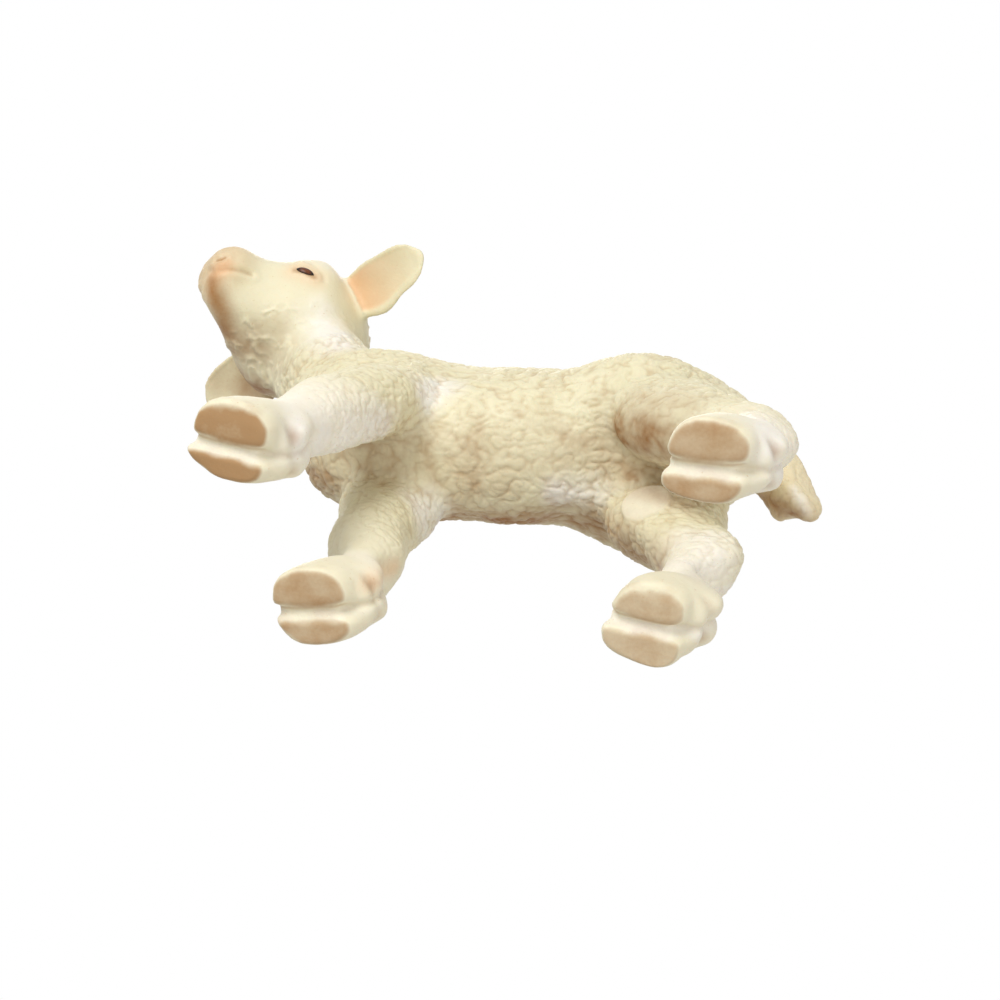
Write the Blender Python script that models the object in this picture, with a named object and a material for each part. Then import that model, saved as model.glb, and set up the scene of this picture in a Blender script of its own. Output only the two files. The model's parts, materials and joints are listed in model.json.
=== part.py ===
# Toy lamb figure, moulded in soft PVC as nine pieces that are glued together on keyed pegs.
# The lamb stands on its four hooves and turns its head to its left.
# Frame: +X towards the lamb's chest, +Y to its left, +Z up, the soles at Z = 0. Units are metres.
# The pieces are laid out from the trunk, and at the end the origin goes under the lamb's middle.

import bmesh
import bpy
from math import atan2, cos, exp, pi, radians, sin
from mathutils import Matrix, Vector

# Fit between glued pieces
FIT_GAP = 0.0003

# Trunk: one moulding from the rump to the glue line in the neck
TRUNK_LENGTH = 0.0264
TRUNK_WIDTH = 0.0131
TRUNK_DEPTH = 0.0136
TRUNK_AXIS_HEIGHT = 0.0252
TRUNK_REAR_X = -0.0184
HAUNCH_SWELL = 0.0018
SHOULDER_SWELL = 0.0004

# Neck: it bends up out of the trunk and leans to the lamb's left
NECK_BEND_RADIUS = 0.0110
NECK_RISE = radians(50)
NECK_LENGTH = 0.0030
NECK_WIDTH = 0.0096
NECK_DEPTH = 0.0094
NECK_SIDE_SHIFT = 0.0028
NECK_PEG_SIZE = 0.0036
NECK_PEG_LENGTH = 0.0036

# Head: placed from the end of the trunk's neck, then turned, tipped and tilted
HEAD_LENGTH = 0.0162
HEAD_WIDTH = 0.0114
HEAD_DEPTH = 0.0096
HEAD_REACH = 0.0067
HEAD_YAW = radians(47)
HEAD_PITCH = radians(-18)
HEAD_ROLL = radians(17)
BROW_SWELL = 0.0013
CHEEK_SWELL = 0.0003
LIP_SWELL = 0.0003
EYE_LENGTH = 0.0019
EYE_HEIGHT = 0.0012
NOSTRIL_LENGTH = 0.0010
MOUTH_GROOVE = 0.0003

# Ears
EAR_LENGTH = 0.0089
EAR_WIDTH = 0.0050
EAR_THICKNESS = 0.0011
EAR_CUP_DEPTH = 0.0009
EAR_CUP_TILT = radians(32)
EAR_DROOP_LEFT = radians(3)
EAR_DROOP_RIGHT = radians(34)
EAR_SWING_LEFT = radians(0)
EAR_SWING_RIGHT = radians(15)
EAR_PEG_SIZE = 0.0012
EAR_PEG_LENGTH = 0.0018

# Tail
TAIL_LENGTH = 0.0088
TAIL_WIDTH = 0.0044
TAIL_FALL = radians(38)
TAIL_SWING = radians(20)
TAIL_PEG_SIZE = 0.0014
TAIL_PEG_LENGTH = 0.0024

# Feet: every hoof has two claws with a heel pad and two dewclaws behind them
HOOF_LENGTH = 0.0057
HOOF_WIDTH = 0.0057
HOOF_HEIGHT = 0.0042
CLEFT_WIDTH = 0.0004
SOLE_EDGE_ROUND = 0.0004
DEWCLAW_SIZE = 0.0012
FETLOCK_HEIGHT = 0.0046
FETLOCK_THICKNESS = 0.0046

# Forelegs
FORE_ROOT_X = 0.0104
FORE_ROOT_SPREAD_LEFT = 0.0047
FORE_ROOT_SPREAD_RIGHT = 0.0040
FORE_STRIDE_LEFT = 0.0057
FORE_STRIDE_RIGHT = 0.0002
FORE_STANCE_LEFT = 0.0058
FORE_STANCE_RIGHT = 0.0056
FORE_TOE_OUT_LEFT = radians(12)
FORE_TOE_OUT_RIGHT = radians(7)
FORE_FETLOCK_SETBACK = 0.0023
KNEE_HEIGHT = 0.0110
KNEE_THICKNESS = 0.0060
ELBOW_HEIGHT = 0.0180
ELBOW_THICKNESS = 0.0068

# Hind legs
HIND_ROOT_X = -0.0112
HIND_ROOT_SPREAD = 0.0040
HIND_STRIDE_LEFT = -0.0045
HIND_STRIDE_RIGHT = -0.0009
HIND_STANCE_LEFT = 0.0067
HIND_STANCE_RIGHT = 0.0045
HIND_TOE_OUT_LEFT = radians(9)
HIND_TOE_OUT_RIGHT = radians(-8)
HIND_FETLOCK_SETBACK = 0.0027
HOCK_SETBACK = 0.0030
HOCK_HEIGHT = 0.0112
HOCK_THICKNESS = 0.0052
THIGH_HEIGHT = 0.0188
THIGH_THICKNESS = 0.0094

# Pegs of the legs
LEG_PEG_SIZE = 0.0024
LEG_PEG_LENGTH = 0.0036
LEG_PEG_LEAN = radians(14)

# Facets round each form
PEG_POINTS = 10
TRUNK_RING_POINTS = 28
HEAD_RING_POINTS = 24
LEG_RING_POINTS = 16
CLAW_RING_POINTS = 16
TAIL_RING_POINTS = 12
EAR_SIDE_POINTS = 7

# A peg's taper each way from its middle, and how far a form runs on to fill its whole peg
PEG_DRAFT_SHARE = 0.12
PEG_RUN_SHARE = 1.2
# Trunk rows: place (0 to 1 trunk, 1 to 2 bend, 2 to 3 neck), then half width, rise of the back
# and drop of the belly, as shares of half the width and depth there.
TRUNK_SECTION_SHARES = (
    (0.00, 0.26, 0.42, 0.10),
    (0.03, 0.58, 0.74, 0.36),
    (0.11, 0.82, 0.99, 0.56),
    (0.24, 0.97, 1.09, 0.64),
    (0.40, 0.96, 1.05, 0.76),
    (0.56, 0.89, 0.95, 0.92),
    (0.74, 0.93, 0.92, 1.01),
    (0.90, 0.91, 0.97, 1.03),
    (1.10, 0.96, 1.00, 1.03),
    (1.40, 1.06, 0.93, 1.05),
    (1.70, 1.01, 0.84, 0.99),
    (2.00, 0.84, 0.77, 0.84),
    (3.00, 0.80, 0.74, 0.76),
)
TRUNK_RING_SHARES = (
    0.0, 0.015, 0.045, 0.09, 0.14, 0.20, 0.27, 0.34, 0.41, 0.48, 0.55, 0.62, 0.70, 0.78,
    0.86, 0.94, 1.04, 1.16, 1.3, 1.45, 1.6, 1.8, 2.0, 2.33, 2.66, 3.0,
)
NECK_SECTION_SHARE = 0.80
# Swelling rows: place along the form and spread, then angle round it and spread. The trunk's are
# the haunch and the shoulder, and the head's are the brow, the cheek and the lip.
TRUNK_SWELL_SHARES = (
    (0.36, 0.20, radians(-16), radians(43)),
    (1.02, 0.22, radians(-16), radians(43)),
)
HEAD_SWELL_SHARES = (
    (0.55, 0.13, radians(30), radians(32)),
    (0.42, 0.14, radians(-40), radians(34)),
    (0.92, 0.07, radians(-5), radians(29)),
)
# Head rows: place from the poll to the muzzle, half width, rise and drop, as shares of the
# head's length, half width and half depth.
HEAD_SECTION_SHARES = (
    (0.00, 0.30, 0.34, 0.16),
    (0.04, 0.62, 0.64, 0.44),
    (0.14, 0.90, 0.92, 0.78),
    (0.30, 1.00, 1.04, 0.96),
    (0.46, 0.98, 0.99, 1.00),
    (0.58, 0.84, 0.82, 0.97),
    (0.70, 0.60, 0.62, 0.91),
    (0.82, 0.48, 0.48, 0.86),
    (0.91, 0.46, 0.37, 0.83),
    (0.97, 0.37, 0.17, 0.70),
    (1.00, 0.18, -0.08, 0.46),
)
HEAD_RINGS = 26
HEAD_BACK_SHARE = 0.36
# Places on the head, forward, left and up of its middle, as shares of the head's length,
# width and depth.
EYE_PLACE_SHARES = (0.255, 0.40, 0.15)
NOSTRIL_PLACE_SHARES = (0.62, 0.11, -0.15)
MOUTH_CORNER_SHARES = (0.44, 0, -0.22)
EAR_ROOT_SHARES = (-0.085, 0.38, 0.33)
# Ear rows: place from root to tip, half width, thickness and depth of the cup, as shares of
# the ear's length, half width, thickness and cup depth.
EAR_SECTION_SHARES = (
    (0.00, 0.80, 1.70, 0.20),
    (0.12, 0.90, 1.45, 0.60),
    (0.30, 0.98, 1.15, 0.90),
    (0.52, 1.00, 1.00, 1.00),
    (0.74, 0.90, 0.90, 0.90),
    (0.88, 0.70, 0.80, 0.65),
    (0.97, 0.42, 0.60, 0.25),
    (1.00, 0.18, 0.40, 0.05),
)
EAR_RINGS = 12
# Tail rows: place from root to tip, half thickness, as shares of the tail's length and half width.
TAIL_SECTION_SHARES = (
    (0.00, 0.86),
    (0.25, 0.96),
    (0.55, 1.00),
    (0.80, 0.90),
    (0.94, 0.64),
    (1.00, 0.30),
)
TAIL_RINGS = 12
# Hoof rows above its sole: height, length and width, as shares of the hoof's own.
HOOF_SECTION_SHARES = (
    (0.40, 0.96, 1.00),
    (0.70, 0.86, 0.94),
    (0.95, 0.74, 0.82),
    (1.10, 0.48, 0.55),
)
CLAW_WALL_SHARE = 0.72
HOOF_LEAN_SHARE = 0.40
# Pastern rows: place from the heel to the fetlock, half length and half width, as shares of
# half the fetlock's thickness.
PASTERN_SHARES = (
    (0.00, 0.50, 0.62),
    (0.16, 0.86, 0.98),
    (0.40, 1.00, 1.08),
    (0.72, 1.04, 1.06),
    (1.00, 1.00, 1.00),
)
# Height of the leg roots in the belly, below the trunk's axis, as a share of half its depth
LEG_ROOT_SHARE = 0.75


def clear_scene():
    for old in list(bpy.data.objects):
        bpy.data.objects.remove(old, do_unlink=True)


def new_collection(name):
    made = bpy.data.collections.new(name)
    bpy.context.scene.collection.children.link(made)
    return made


def material(name, colour, roughness):
    made = bpy.data.materials.new(name)
    made.use_nodes = True
    shader = made.node_tree.nodes["Principled BSDF"]
    shader.inputs["Base Color"].default_value = (*colour, 1.0)
    shader.inputs["Roughness"].default_value = roughness
    shader.inputs["Metallic"].default_value = 0.0
    made.diffuse_color = (*colour, 1.0)
    return made


def mesh_object(name, mesh, collection, finish=None):
    made = bpy.data.objects.new(name, mesh)
    collection.objects.link(made)
    if finish:
        mesh.materials.append(finish)
    mesh.shade_smooth()
    return made


def smooth_between(rows, place):
    """The row of a table at a place between its rows, along a smooth curve through them."""
    last = len(rows) - 2
    index = min(last, max(0, sum(place > row[0] for row in rows) - 1))
    before, start, end, after = (rows[max(0, min(last + 1, index + k))] for k in (-1, 0, 1, 2))
    span = end[0] - start[0]
    t = (place - start[0]) / span
    values = []
    for column in range(1, len(start)):
        slope_in = (end[column] - before[column]) / max(end[0] - before[0], span) * span
        slope_out = (after[column] - start[column]) / max(after[0] - start[0], span) * span
        rise = end[column] - start[column]
        values.append(
            start[column]
            + t * slope_in
            + t * t * (3 * rise - 2 * slope_in - slope_out)
            + t * t * t * (slope_in + slope_out - 2 * rise)
        )
    return values


def bump(distance, spread):
    return exp(-((distance / spread) ** 2))


def angle_between(first, second):
    return atan2(sin(first - second), cos(first - second))


def swelling(heights, rows, place, angle):
    """How far a form swells out there: every swelling is on its left and on its right."""
    total = 0
    for height, (middle, spread, toward, width) in zip(heights, rows):
        sides = bump(angle_between(angle, toward), width) + bump(angle_between(angle, pi - toward), width)
        total += height * sides * bump(place - middle, spread)
    return total


def loft(name, rings, collection, finish=None):
    """A closed skin over rings of points, with a flat face on each end."""
    shape = bmesh.new()
    loops = [[shape.verts.new(point) for point in ring] for ring in rings]
    count = len(rings[0])
    for lower, upper in zip(loops, loops[1:]):
        for k in range(count):
            following = (k + 1) % count
            shape.faces.new((lower[k], lower[following], upper[following], upper[k]))
    shape.faces.new(list(reversed(loops[0])))
    shape.faces.new(loops[-1])
    bmesh.ops.recalc_face_normals(shape, faces=shape.faces)
    mesh = bpy.data.meshes.new(name)
    shape.to_mesh(mesh)
    shape.free()
    return mesh_object(name, mesh, collection, finish)


def rounded(value, power):
    return abs(value) ** power * (1 if value > 0 else -1)


def oval(centre, side, up, half_width, rise, drop, points, swell=None, squareness=0.92):
    """One ring: a soft rectangle, half_width to each side, rise above and drop below."""
    ring = []
    for k in range(points):
        angle = 2 * pi * k / points
        across = rounded(cos(angle), squareness)
        height = rounded(sin(angle), squareness)
        more = swell(angle) if swell else 0
        reach = rise if height > 0 else drop
        ring.append(
            centre
            + side * (across * half_width + cos(angle) * more)
            + up * (height * reach + sin(angle) * more)
        )
    return ring


def boolean(target, other, operation):
    step = target.modifiers.new(operation.lower() + "_" + other.name, "BOOLEAN")
    step.operation = operation
    step.solver = "EXACT"
    step.object = other


def grown_copy(source, gap, name, collection):
    """A copy of a solid, larger by the gap all round, used to cut its neighbours back."""
    made = mesh_object(name, source.data.copy(), collection)
    grow = made.modifiers.new("grow", "DISPLACE")
    grow.mid_level = 0
    grow.strength = gap
    return made


def tapered_peg(name, start, direction, length, radius, gap, collection):
    """A round peg on an axis, thinner towards its end, reaching as far behind the start as before it."""
    shape = bmesh.new()
    bmesh.ops.create_cone(
        shape,
        cap_ends=True,
        segments=PEG_POINTS,
        radius1=radius * (1 + PEG_DRAFT_SHARE) + gap,
        radius2=radius * (1 - PEG_DRAFT_SHARE) + gap,
        depth=2 * length + gap,
    )
    bmesh.ops.translate(shape, verts=shape.verts, vec=(0, 0, gap / 2))
    turn = direction.to_track_quat("Z", "Y").to_matrix().to_4x4()
    shape.transform(Matrix.Translation(start) @ turn)
    mesh = bpy.data.meshes.new(name)
    shape.to_mesh(mesh)
    shape.free()
    return mesh_object(name, mesh, collection)


def seat_with_peg(owner, holder, start, direction, size, length, collection):
    """Cuts owner back from its holder, all but a peg, and cuts the peg's socket in the holder."""
    name = owner.name + "_peg"
    peg = tapered_peg(name, start, direction, length, size / 2, 0, collection)
    socket = tapered_peg(name + "_socket", start, direction, length, size / 2, FIT_GAP, collection)
    seat = grown_copy(holder, FIT_GAP, owner.name + "_seat", collection)
    boolean(seat, peg, "DIFFERENCE")
    boolean(owner, seat, "DIFFERENCE")
    boolean(holder, socket, "DIFFERENCE")


def egg(name, centre, half_sizes, axes, collection, rings=6, points=10):
    """A stretched sphere along three given axes."""
    shape = bmesh.new()
    bmesh.ops.create_uvsphere(shape, u_segments=points, v_segments=rings, radius=1)
    bmesh.ops.scale(shape, verts=shape.verts, vec=half_sizes)
    turn = Matrix(axes).transposed().to_4x4()
    shape.transform(Matrix.Translation(centre) @ turn)
    mesh = bpy.data.meshes.new(name)
    shape.to_mesh(mesh)
    shape.free()
    return mesh_object(name, mesh, collection)


def body_path(place):
    """Centre, forward, side and up of the trunk and neck at a place from 0 to 3."""
    bend_length = NECK_BEND_RADIUS * NECK_RISE
    along = min(place, 1) * TRUNK_LENGTH
    turned = min(max(place - 1, 0), 1) * NECK_RISE
    out = max(place - 2, 0) * NECK_LENGTH
    x = TRUNK_REAR_X + along + NECK_BEND_RADIUS * sin(turned) + out * cos(NECK_RISE)
    z = TRUNK_AXIS_HEIGHT + NECK_BEND_RADIUS * (1 - cos(turned)) + out * sin(NECK_RISE)
    gone = NECK_BEND_RADIUS * turned + out
    share = gone / (bend_length + NECK_LENGTH)
    slope = 2 * NECK_SIDE_SHIFT * share / (bend_length + NECK_LENGTH)
    centre = Vector((x, NECK_SIDE_SHIFT * share * share, z))
    forward = Vector((cos(turned), slope, sin(turned))).normalized()
    up = Vector((-sin(turned), 0, cos(turned)))
    side = up.cross(forward).normalized()
    return centre, forward, side, forward.cross(side)


def body_ring(place):
    centre, forward, side, up = body_path(place)
    width, rise, drop = smooth_between(TRUNK_SECTION_SHARES, place)
    share = min(max(place - 1, 0), 1)
    half_width = TRUNK_WIDTH / 2 * (1 - share) + NECK_WIDTH / 2 / NECK_SECTION_SHARE * share
    half_depth = TRUNK_DEPTH / 2 * (1 - share) + NECK_DEPTH / 2 / NECK_SECTION_SHARE * share

    def swell(angle):
        return swelling((HAUNCH_SWELL, SHOULDER_SWELL), TRUNK_SWELL_SHARES, place, angle)

    rise, drop = half_depth * rise, half_depth * drop
    return oval(centre, side, up, half_width * width, rise, drop, TRUNK_RING_POINTS, swell)


def make_torso(collection, finish):
    return loft("torso", [body_ring(place) for place in TRUNK_RING_SHARES], collection, finish)


def head_axes():
    """Forward, left and top of the turned and tilted head."""
    forward = Vector(
        (cos(HEAD_YAW) * cos(HEAD_PITCH), sin(HEAD_YAW) * cos(HEAD_PITCH), sin(HEAD_PITCH))
    )
    level_left = Vector((-sin(HEAD_YAW), cos(HEAD_YAW), 0))
    level_top = forward.cross(level_left)
    left = level_left * cos(HEAD_ROLL) - level_top * sin(HEAD_ROLL)
    top = level_top * cos(HEAD_ROLL) + level_left * sin(HEAD_ROLL)
    return forward, left, top


def head_centre():
    """The middle of the skull, between the ears."""
    end, forward, side, up = body_path(3)
    return end + forward * HEAD_REACH


def on_head(shares, mirror=1):
    """A point of the head, from its shares of the head's length, width and depth."""
    forward, left, top = head_axes()
    along, across, above = shares
    return (
        head_centre()
        + forward * (HEAD_LENGTH * along)
        + left * (HEAD_WIDTH * across * mirror)
        + top * (HEAD_DEPTH * above)
    )


def head_ring(share):
    forward, left, top = head_axes()
    width, rise, drop = smooth_between(HEAD_SECTION_SHARES, share)
    centre = on_head((share - HEAD_BACK_SHARE, 0, 0))

    def swell(angle):
        return swelling((BROW_SWELL, CHEEK_SWELL, LIP_SWELL), HEAD_SWELL_SHARES, share, angle)

    rise, drop = HEAD_DEPTH / 2 * rise, HEAD_DEPTH / 2 * drop
    return oval(centre, left, top, HEAD_WIDTH / 2 * width, rise, drop, HEAD_RING_POINTS, swell)


def neck_stub_rings():
    """The upper neck: its peg is cut from its foot, and it goes on past the glue line to the skull."""
    end, forward, side, up = body_path(3)
    foot = end - forward * (NECK_PEG_LENGTH * PEG_RUN_SHARE)
    rings = [[point - end + foot for point in body_ring(3)]]
    for k in range(5):
        share = k / 4
        centre = end.lerp(head_centre(), share)
        rings.append([centre + (point - end) * (1 - 0.2 * share) for point in body_ring(3)])
    return rings


def cut_mouth(head, cutters):
    """A shallow groove round the muzzle: a thin slab, less the head's own shape shrunk inwards."""
    forward, left, top = head_axes()
    core = grown_copy(head, -MOUTH_GROOVE, "mouth_core", cutters)
    start = on_head(MOUTH_CORNER_SHARES)
    slope = (forward - top * 0.10).normalized()
    shape = bmesh.new()
    bmesh.ops.create_cube(shape, size=1)
    bmesh.ops.scale(shape, verts=shape.verts, vec=(HEAD_LENGTH / 2, HEAD_WIDTH, MOUTH_GROOVE))
    bmesh.ops.translate(shape, verts=shape.verts, vec=(HEAD_LENGTH / 4, 0, 0))
    turn = Matrix((slope, left, slope.cross(left))).transposed().to_4x4()
    shape.transform(Matrix.Translation(start) @ turn)
    mesh = bpy.data.meshes.new("mouth")
    shape.to_mesh(mesh)
    shape.free()
    slab = mesh_object("mouth", mesh, cutters)
    boolean(slab, core, "DIFFERENCE")
    boolean(head, slab, "DIFFERENCE")


def make_head(torso, collection, cutters, finish):
    forward, left, top = head_axes()
    rings = [head_ring(k / (HEAD_RINGS - 1)) for k in range(HEAD_RINGS)]
    head = loft("head", rings, collection, finish)
    cut_mouth(head, cutters)
    stub = loft("neck_stub", neck_stub_rings(), cutters)
    boolean(head, stub, "UNION")
    eye_half = (EYE_LENGTH / 2, EYE_HEIGHT / 2, EYE_HEIGHT / 2)
    nostril_half = (NOSTRIL_LENGTH / 2, NOSTRIL_LENGTH / 4, NOSTRIL_LENGTH / 2)
    for label, side in (("left", 1), ("right", -1)):
        eye = egg(f"eye_{label}", on_head(EYE_PLACE_SHARES, side), eye_half, (forward, left, top), cutters)
        boolean(head, eye, "UNION")
        place = on_head(NOSTRIL_PLACE_SHARES, side)
        nostril = egg(f"nostril_{label}", place, nostril_half, (left, top, forward), cutters)
        boolean(head, nostril, "DIFFERENCE")
    end, along, across, up = body_path(3)
    seat_with_peg(head, torso, end, -along, NECK_PEG_SIZE, NECK_PEG_LENGTH, cutters)
    return head


def ear_axes(mirror):
    """Along the ear, across it, and the way its cup faces."""
    forward, left, top = head_axes()
    droop = EAR_DROOP_LEFT if mirror > 0 else EAR_DROOP_RIGHT
    swing = EAR_SWING_LEFT if mirror > 0 else EAR_SWING_RIGHT
    level = left * (mirror * cos(swing)) + forward * sin(swing)
    along = level * cos(droop) - top * sin(droop)
    down = -level * sin(droop) - top * cos(droop)
    front = forward * cos(swing) - left * (mirror * sin(swing))
    cup = front * sin(EAR_CUP_TILT) + down * cos(EAR_CUP_TILT)
    return along, along.cross(cup), cup


def ear_rings(mirror):
    along, across, cup = ear_axes(mirror)
    root = on_head(EAR_ROOT_SHARES, mirror)
    rings = []
    for k in range(-1, EAR_RINGS):
        share = max(k, 0) / (EAR_RINGS - 1)
        width, thickness, depth = smooth_between(EAR_SECTION_SHARES, share)
        centre = root + along * (EAR_LENGTH * share)
        if k < 0:
            centre -= along * (EAR_PEG_LENGTH * PEG_RUN_SHARE)
        ring = []
        for face in (1, -1):
            for j in range(EAR_SIDE_POINTS):
                sideways = face * cos(pi * (j + 0.5) / EAR_SIDE_POINTS)
                hollow = EAR_CUP_DEPTH * depth * sideways * sideways
                shell = face * EAR_THICKNESS / 2 * thickness * (1 - sideways * sideways) ** 0.5
                ring.append(
                    centre + across * (EAR_WIDTH / 2 * width * sideways) + cup * (hollow - shell)
                )
        rings.append(ring)
    return rings


def make_ear(name, mirror, head, collection, cutters, finish):
    """An ear with its cup, seated against the head and pegged into it."""
    ear = loft(name, ear_rings(mirror), collection, finish)
    along, across, cup = ear_axes(mirror)
    root = on_head(EAR_ROOT_SHARES, mirror)
    seat_with_peg(ear, head, root, -along, EAR_PEG_SIZE, EAR_PEG_LENGTH, cutters)
    return ear


def make_tail(torso, collection, cutters, finish):
    """A short docked tail that falls back from the rump."""
    rump, forward, side, up = body_path(0)
    root = rump + forward * (TAIL_WIDTH / 2) + up * (TAIL_WIDTH / 4)
    rings = []
    for k in range(-1, TAIL_RINGS):
        share = max(k, 0) / (TAIL_RINGS - 1)
        (half,) = smooth_between(TAIL_SECTION_SHARES, share)
        half *= TAIL_WIDTH / 2
        fall = TAIL_FALL * (0.5 + share / 2)
        swing = TAIL_SWING * share
        along = Vector((-cos(fall) * cos(swing), -cos(fall) * sin(swing), -sin(fall)))
        centre = root + along * (TAIL_LENGTH * share)
        if k < 0:
            centre -= along * (TAIL_PEG_LENGTH * PEG_RUN_SHARE)
        rings.append(oval(centre, side, side.cross(along), half, half, half, TAIL_RING_POINTS))
    tail = loft("tail", rings, collection, finish)
    inward = Vector((cos(TAIL_FALL / 2), 0, sin(TAIL_FALL / 2)))
    seat_with_peg(tail, torso, root, inward, TAIL_PEG_SIZE, TAIL_PEG_LENGTH, cutters)
    return tail


def claw_rings(foot, side, toe_out):
    """A claw from the sole up: straight along the cleft, round outside, leaning back."""
    width = HOOF_WIDTH / 2 - CLEFT_WIDTH / 2
    levels = [
        (0, 1 - 2 * SOLE_EDGE_ROUND / HOOF_LENGTH, 1 - SOLE_EDGE_ROUND / width, SOLE_EDGE_ROUND),
        (SOLE_EDGE_ROUND * 0.4, 1 - SOLE_EDGE_ROUND / HOOF_LENGTH, 1, SOLE_EDGE_ROUND * 0.3),
        (SOLE_EDGE_ROUND * 1.6, 1, 1, 0),
    ]
    levels += [(HOOF_HEIGHT * high, long, wide, 0) for high, long, wide in HOOF_SECTION_SHARES]
    rings = []
    for height, length_share, width_share, inset in levels:
        ring = []
        for k in range(CLAW_RING_POINTS):
            angle = 2 * pi * k / CLAW_RING_POINTS
            out = rounded(max(sin(angle), 0), 0.80) * width_share
            inner = rounded(abs(min(sin(angle), 0)), 0.45)
            toe = HOOF_LENGTH / 2 * length_share * rounded(cos(angle), 0.85) - height * HOOF_LEAN_SHARE
            across = CLEFT_WIDTH / 2 + width * (1 - CLAW_WALL_SHARE + CLAW_WALL_SHARE * out)
            across += (inset - width * (1 - CLAW_WALL_SHARE)) * inner
            across *= side
            x = toe * cos(toe_out) - across * sin(toe_out)
            y = toe * sin(toe_out) + across * cos(toe_out)
            ring.append(foot + Vector((x, y, height)))
        rings.append(ring if side > 0 else list(reversed(ring)))
    return rings


def path_rings(stations, points):
    """Rings along a limb. Each station is a point, half its length fore and aft, half its width."""
    rows = [
        (k, *point, half_long, half_wide) for k, (point, half_long, half_wide) in enumerate(stations)
    ]
    steps = (len(rows) - 1) * 2
    samples = [smooth_between(rows, k / 2) for k in range(steps + 1)]
    centres = [Vector(sample[:3]) for sample in samples]
    rings = []
    for k, sample in enumerate(samples):
        ahead = centres[min(k + 1, steps)]
        behind = centres[max(k - 1, 0)]
        along = (ahead - behind).normalized()
        side = (Vector((0, 1, 0)) - along * along.y).normalized()
        front = side.cross(along)
        rings.append(oval(centres[k], front, side, sample[3], sample[4], sample[4], points))
    return rings


def make_leg(name, mirror, foot, toe_out, setback, root, upper, torso, collection, cutters, finish):
    """A leg with its hoof, seated against the torso and pegged into it."""
    half = FETLOCK_THICKNESS / 2
    back = Vector((-cos(toe_out), -mirror * sin(toe_out), 0))
    fetlock = foot + back * setback + Vector((0, 0, FETLOCK_HEIGHT))
    heel = foot + back * (setback * 0.85) + Vector((0, 0, HOOF_HEIGHT * 0.24))
    stations = [
        (heel.lerp(fetlock, place), half * long, half * wide) for place, long, wide in PASTERN_SHARES
    ]
    leg = loft(name, path_rings(stations + upper(fetlock, foot, root), LEG_RING_POINTS), collection, finish)
    axes = (-back, Vector((0, 0, 1)).cross(-back), Vector((0, 0, 1)))
    size = DEWCLAW_SIZE / 2
    for label, side in (("inner", -mirror), ("outer", mirror)):
        claw = loft(f"{name}_{label}_claw", claw_rings(foot, side, mirror * toe_out), cutters)
        boolean(leg, claw, "UNION")
        place = heel.lerp(fetlock, 0.55) + back * (half * 0.88) + axes[1] * (side * half * 0.56)
        dewclaw = egg(f"{name}_{label}_dewclaw", place, (size, size, size * 1.35), axes, cutters)
        boolean(leg, dewclaw, "UNION")
    inward = Vector((0, -mirror * sin(LEG_PEG_LEAN), cos(LEG_PEG_LEAN)))
    seat_with_peg(leg, torso, root, inward, LEG_PEG_SIZE, LEG_PEG_LENGTH, cutters)
    return leg


def foreleg_stations(fetlock, foot, root):
    knee_half = KNEE_THICKNESS / 2
    elbow_half = ELBOW_THICKNESS / 2
    knee = fetlock.lerp(root, (KNEE_HEIGHT - fetlock.z) / (root.z - fetlock.z))
    elbow = fetlock.lerp(root, (ELBOW_HEIGHT - fetlock.z) / (root.z - fetlock.z))
    top = root + Vector((0, 0, LEG_PEG_LENGTH * PEG_RUN_SHARE))
    return [
        (fetlock.lerp(knee, 0.5), knee_half * 0.84, knee_half * 0.82),
        (knee + Vector((knee_half * 0.12, 0, 0)), knee_half, knee_half * 0.96),
        (knee.lerp(elbow, 0.5), elbow_half * 0.86, elbow_half * 0.82),
        (elbow, elbow_half * 1.05, elbow_half * 0.84),
        (top, elbow_half * 1.1, elbow_half * 0.7),
    ]


def hind_leg_stations(fetlock, foot, root):
    hock_half = HOCK_THICKNESS / 2
    thigh_half = THIGH_THICKNESS / 2
    lead = (HOCK_HEIGHT - fetlock.z) / (root.z - fetlock.z)
    hock = Vector((foot.x - HOCK_SETBACK, fetlock.lerp(root, lead).y, HOCK_HEIGHT))
    thigh = hock.lerp(root, (THIGH_HEIGHT - HOCK_HEIGHT) / (root.z - HOCK_HEIGHT))
    top = root + Vector((0, 0, LEG_PEG_LENGTH * PEG_RUN_SHARE))
    return [
        (fetlock.lerp(hock, 0.5) + Vector((hock_half * 0.2, 0, 0)), hock_half * 0.80, hock_half * 0.82),
        (hock, hock_half, hock_half * 0.92),
        (hock.lerp(thigh, 0.45), thigh_half * 0.70, thigh_half * 0.58),
        (thigh, thigh_half, thigh_half * 0.66),
        (top, thigh_half * 1.05, thigh_half * 0.6),
    ]


def centre_on_origin(pieces, cutters):
    """Moves everything so that the origin is under the middle of the lamb, level with its soles."""
    bpy.context.view_layer.update()
    graph = bpy.context.evaluated_depsgraph_get()
    corners = [corner for piece in pieces for corner in piece.evaluated_get(graph).bound_box]
    low = [min(corner[axis] for corner in corners) for axis in range(3)]
    high = [max(corner[axis] for corner in corners) for axis in range(3)]
    middle = Vector(((low[0] + high[0]) / 2, (low[1] + high[1]) / 2, low[2]))
    for moved in (*pieces, *cutters):
        moved.location = -middle


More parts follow.
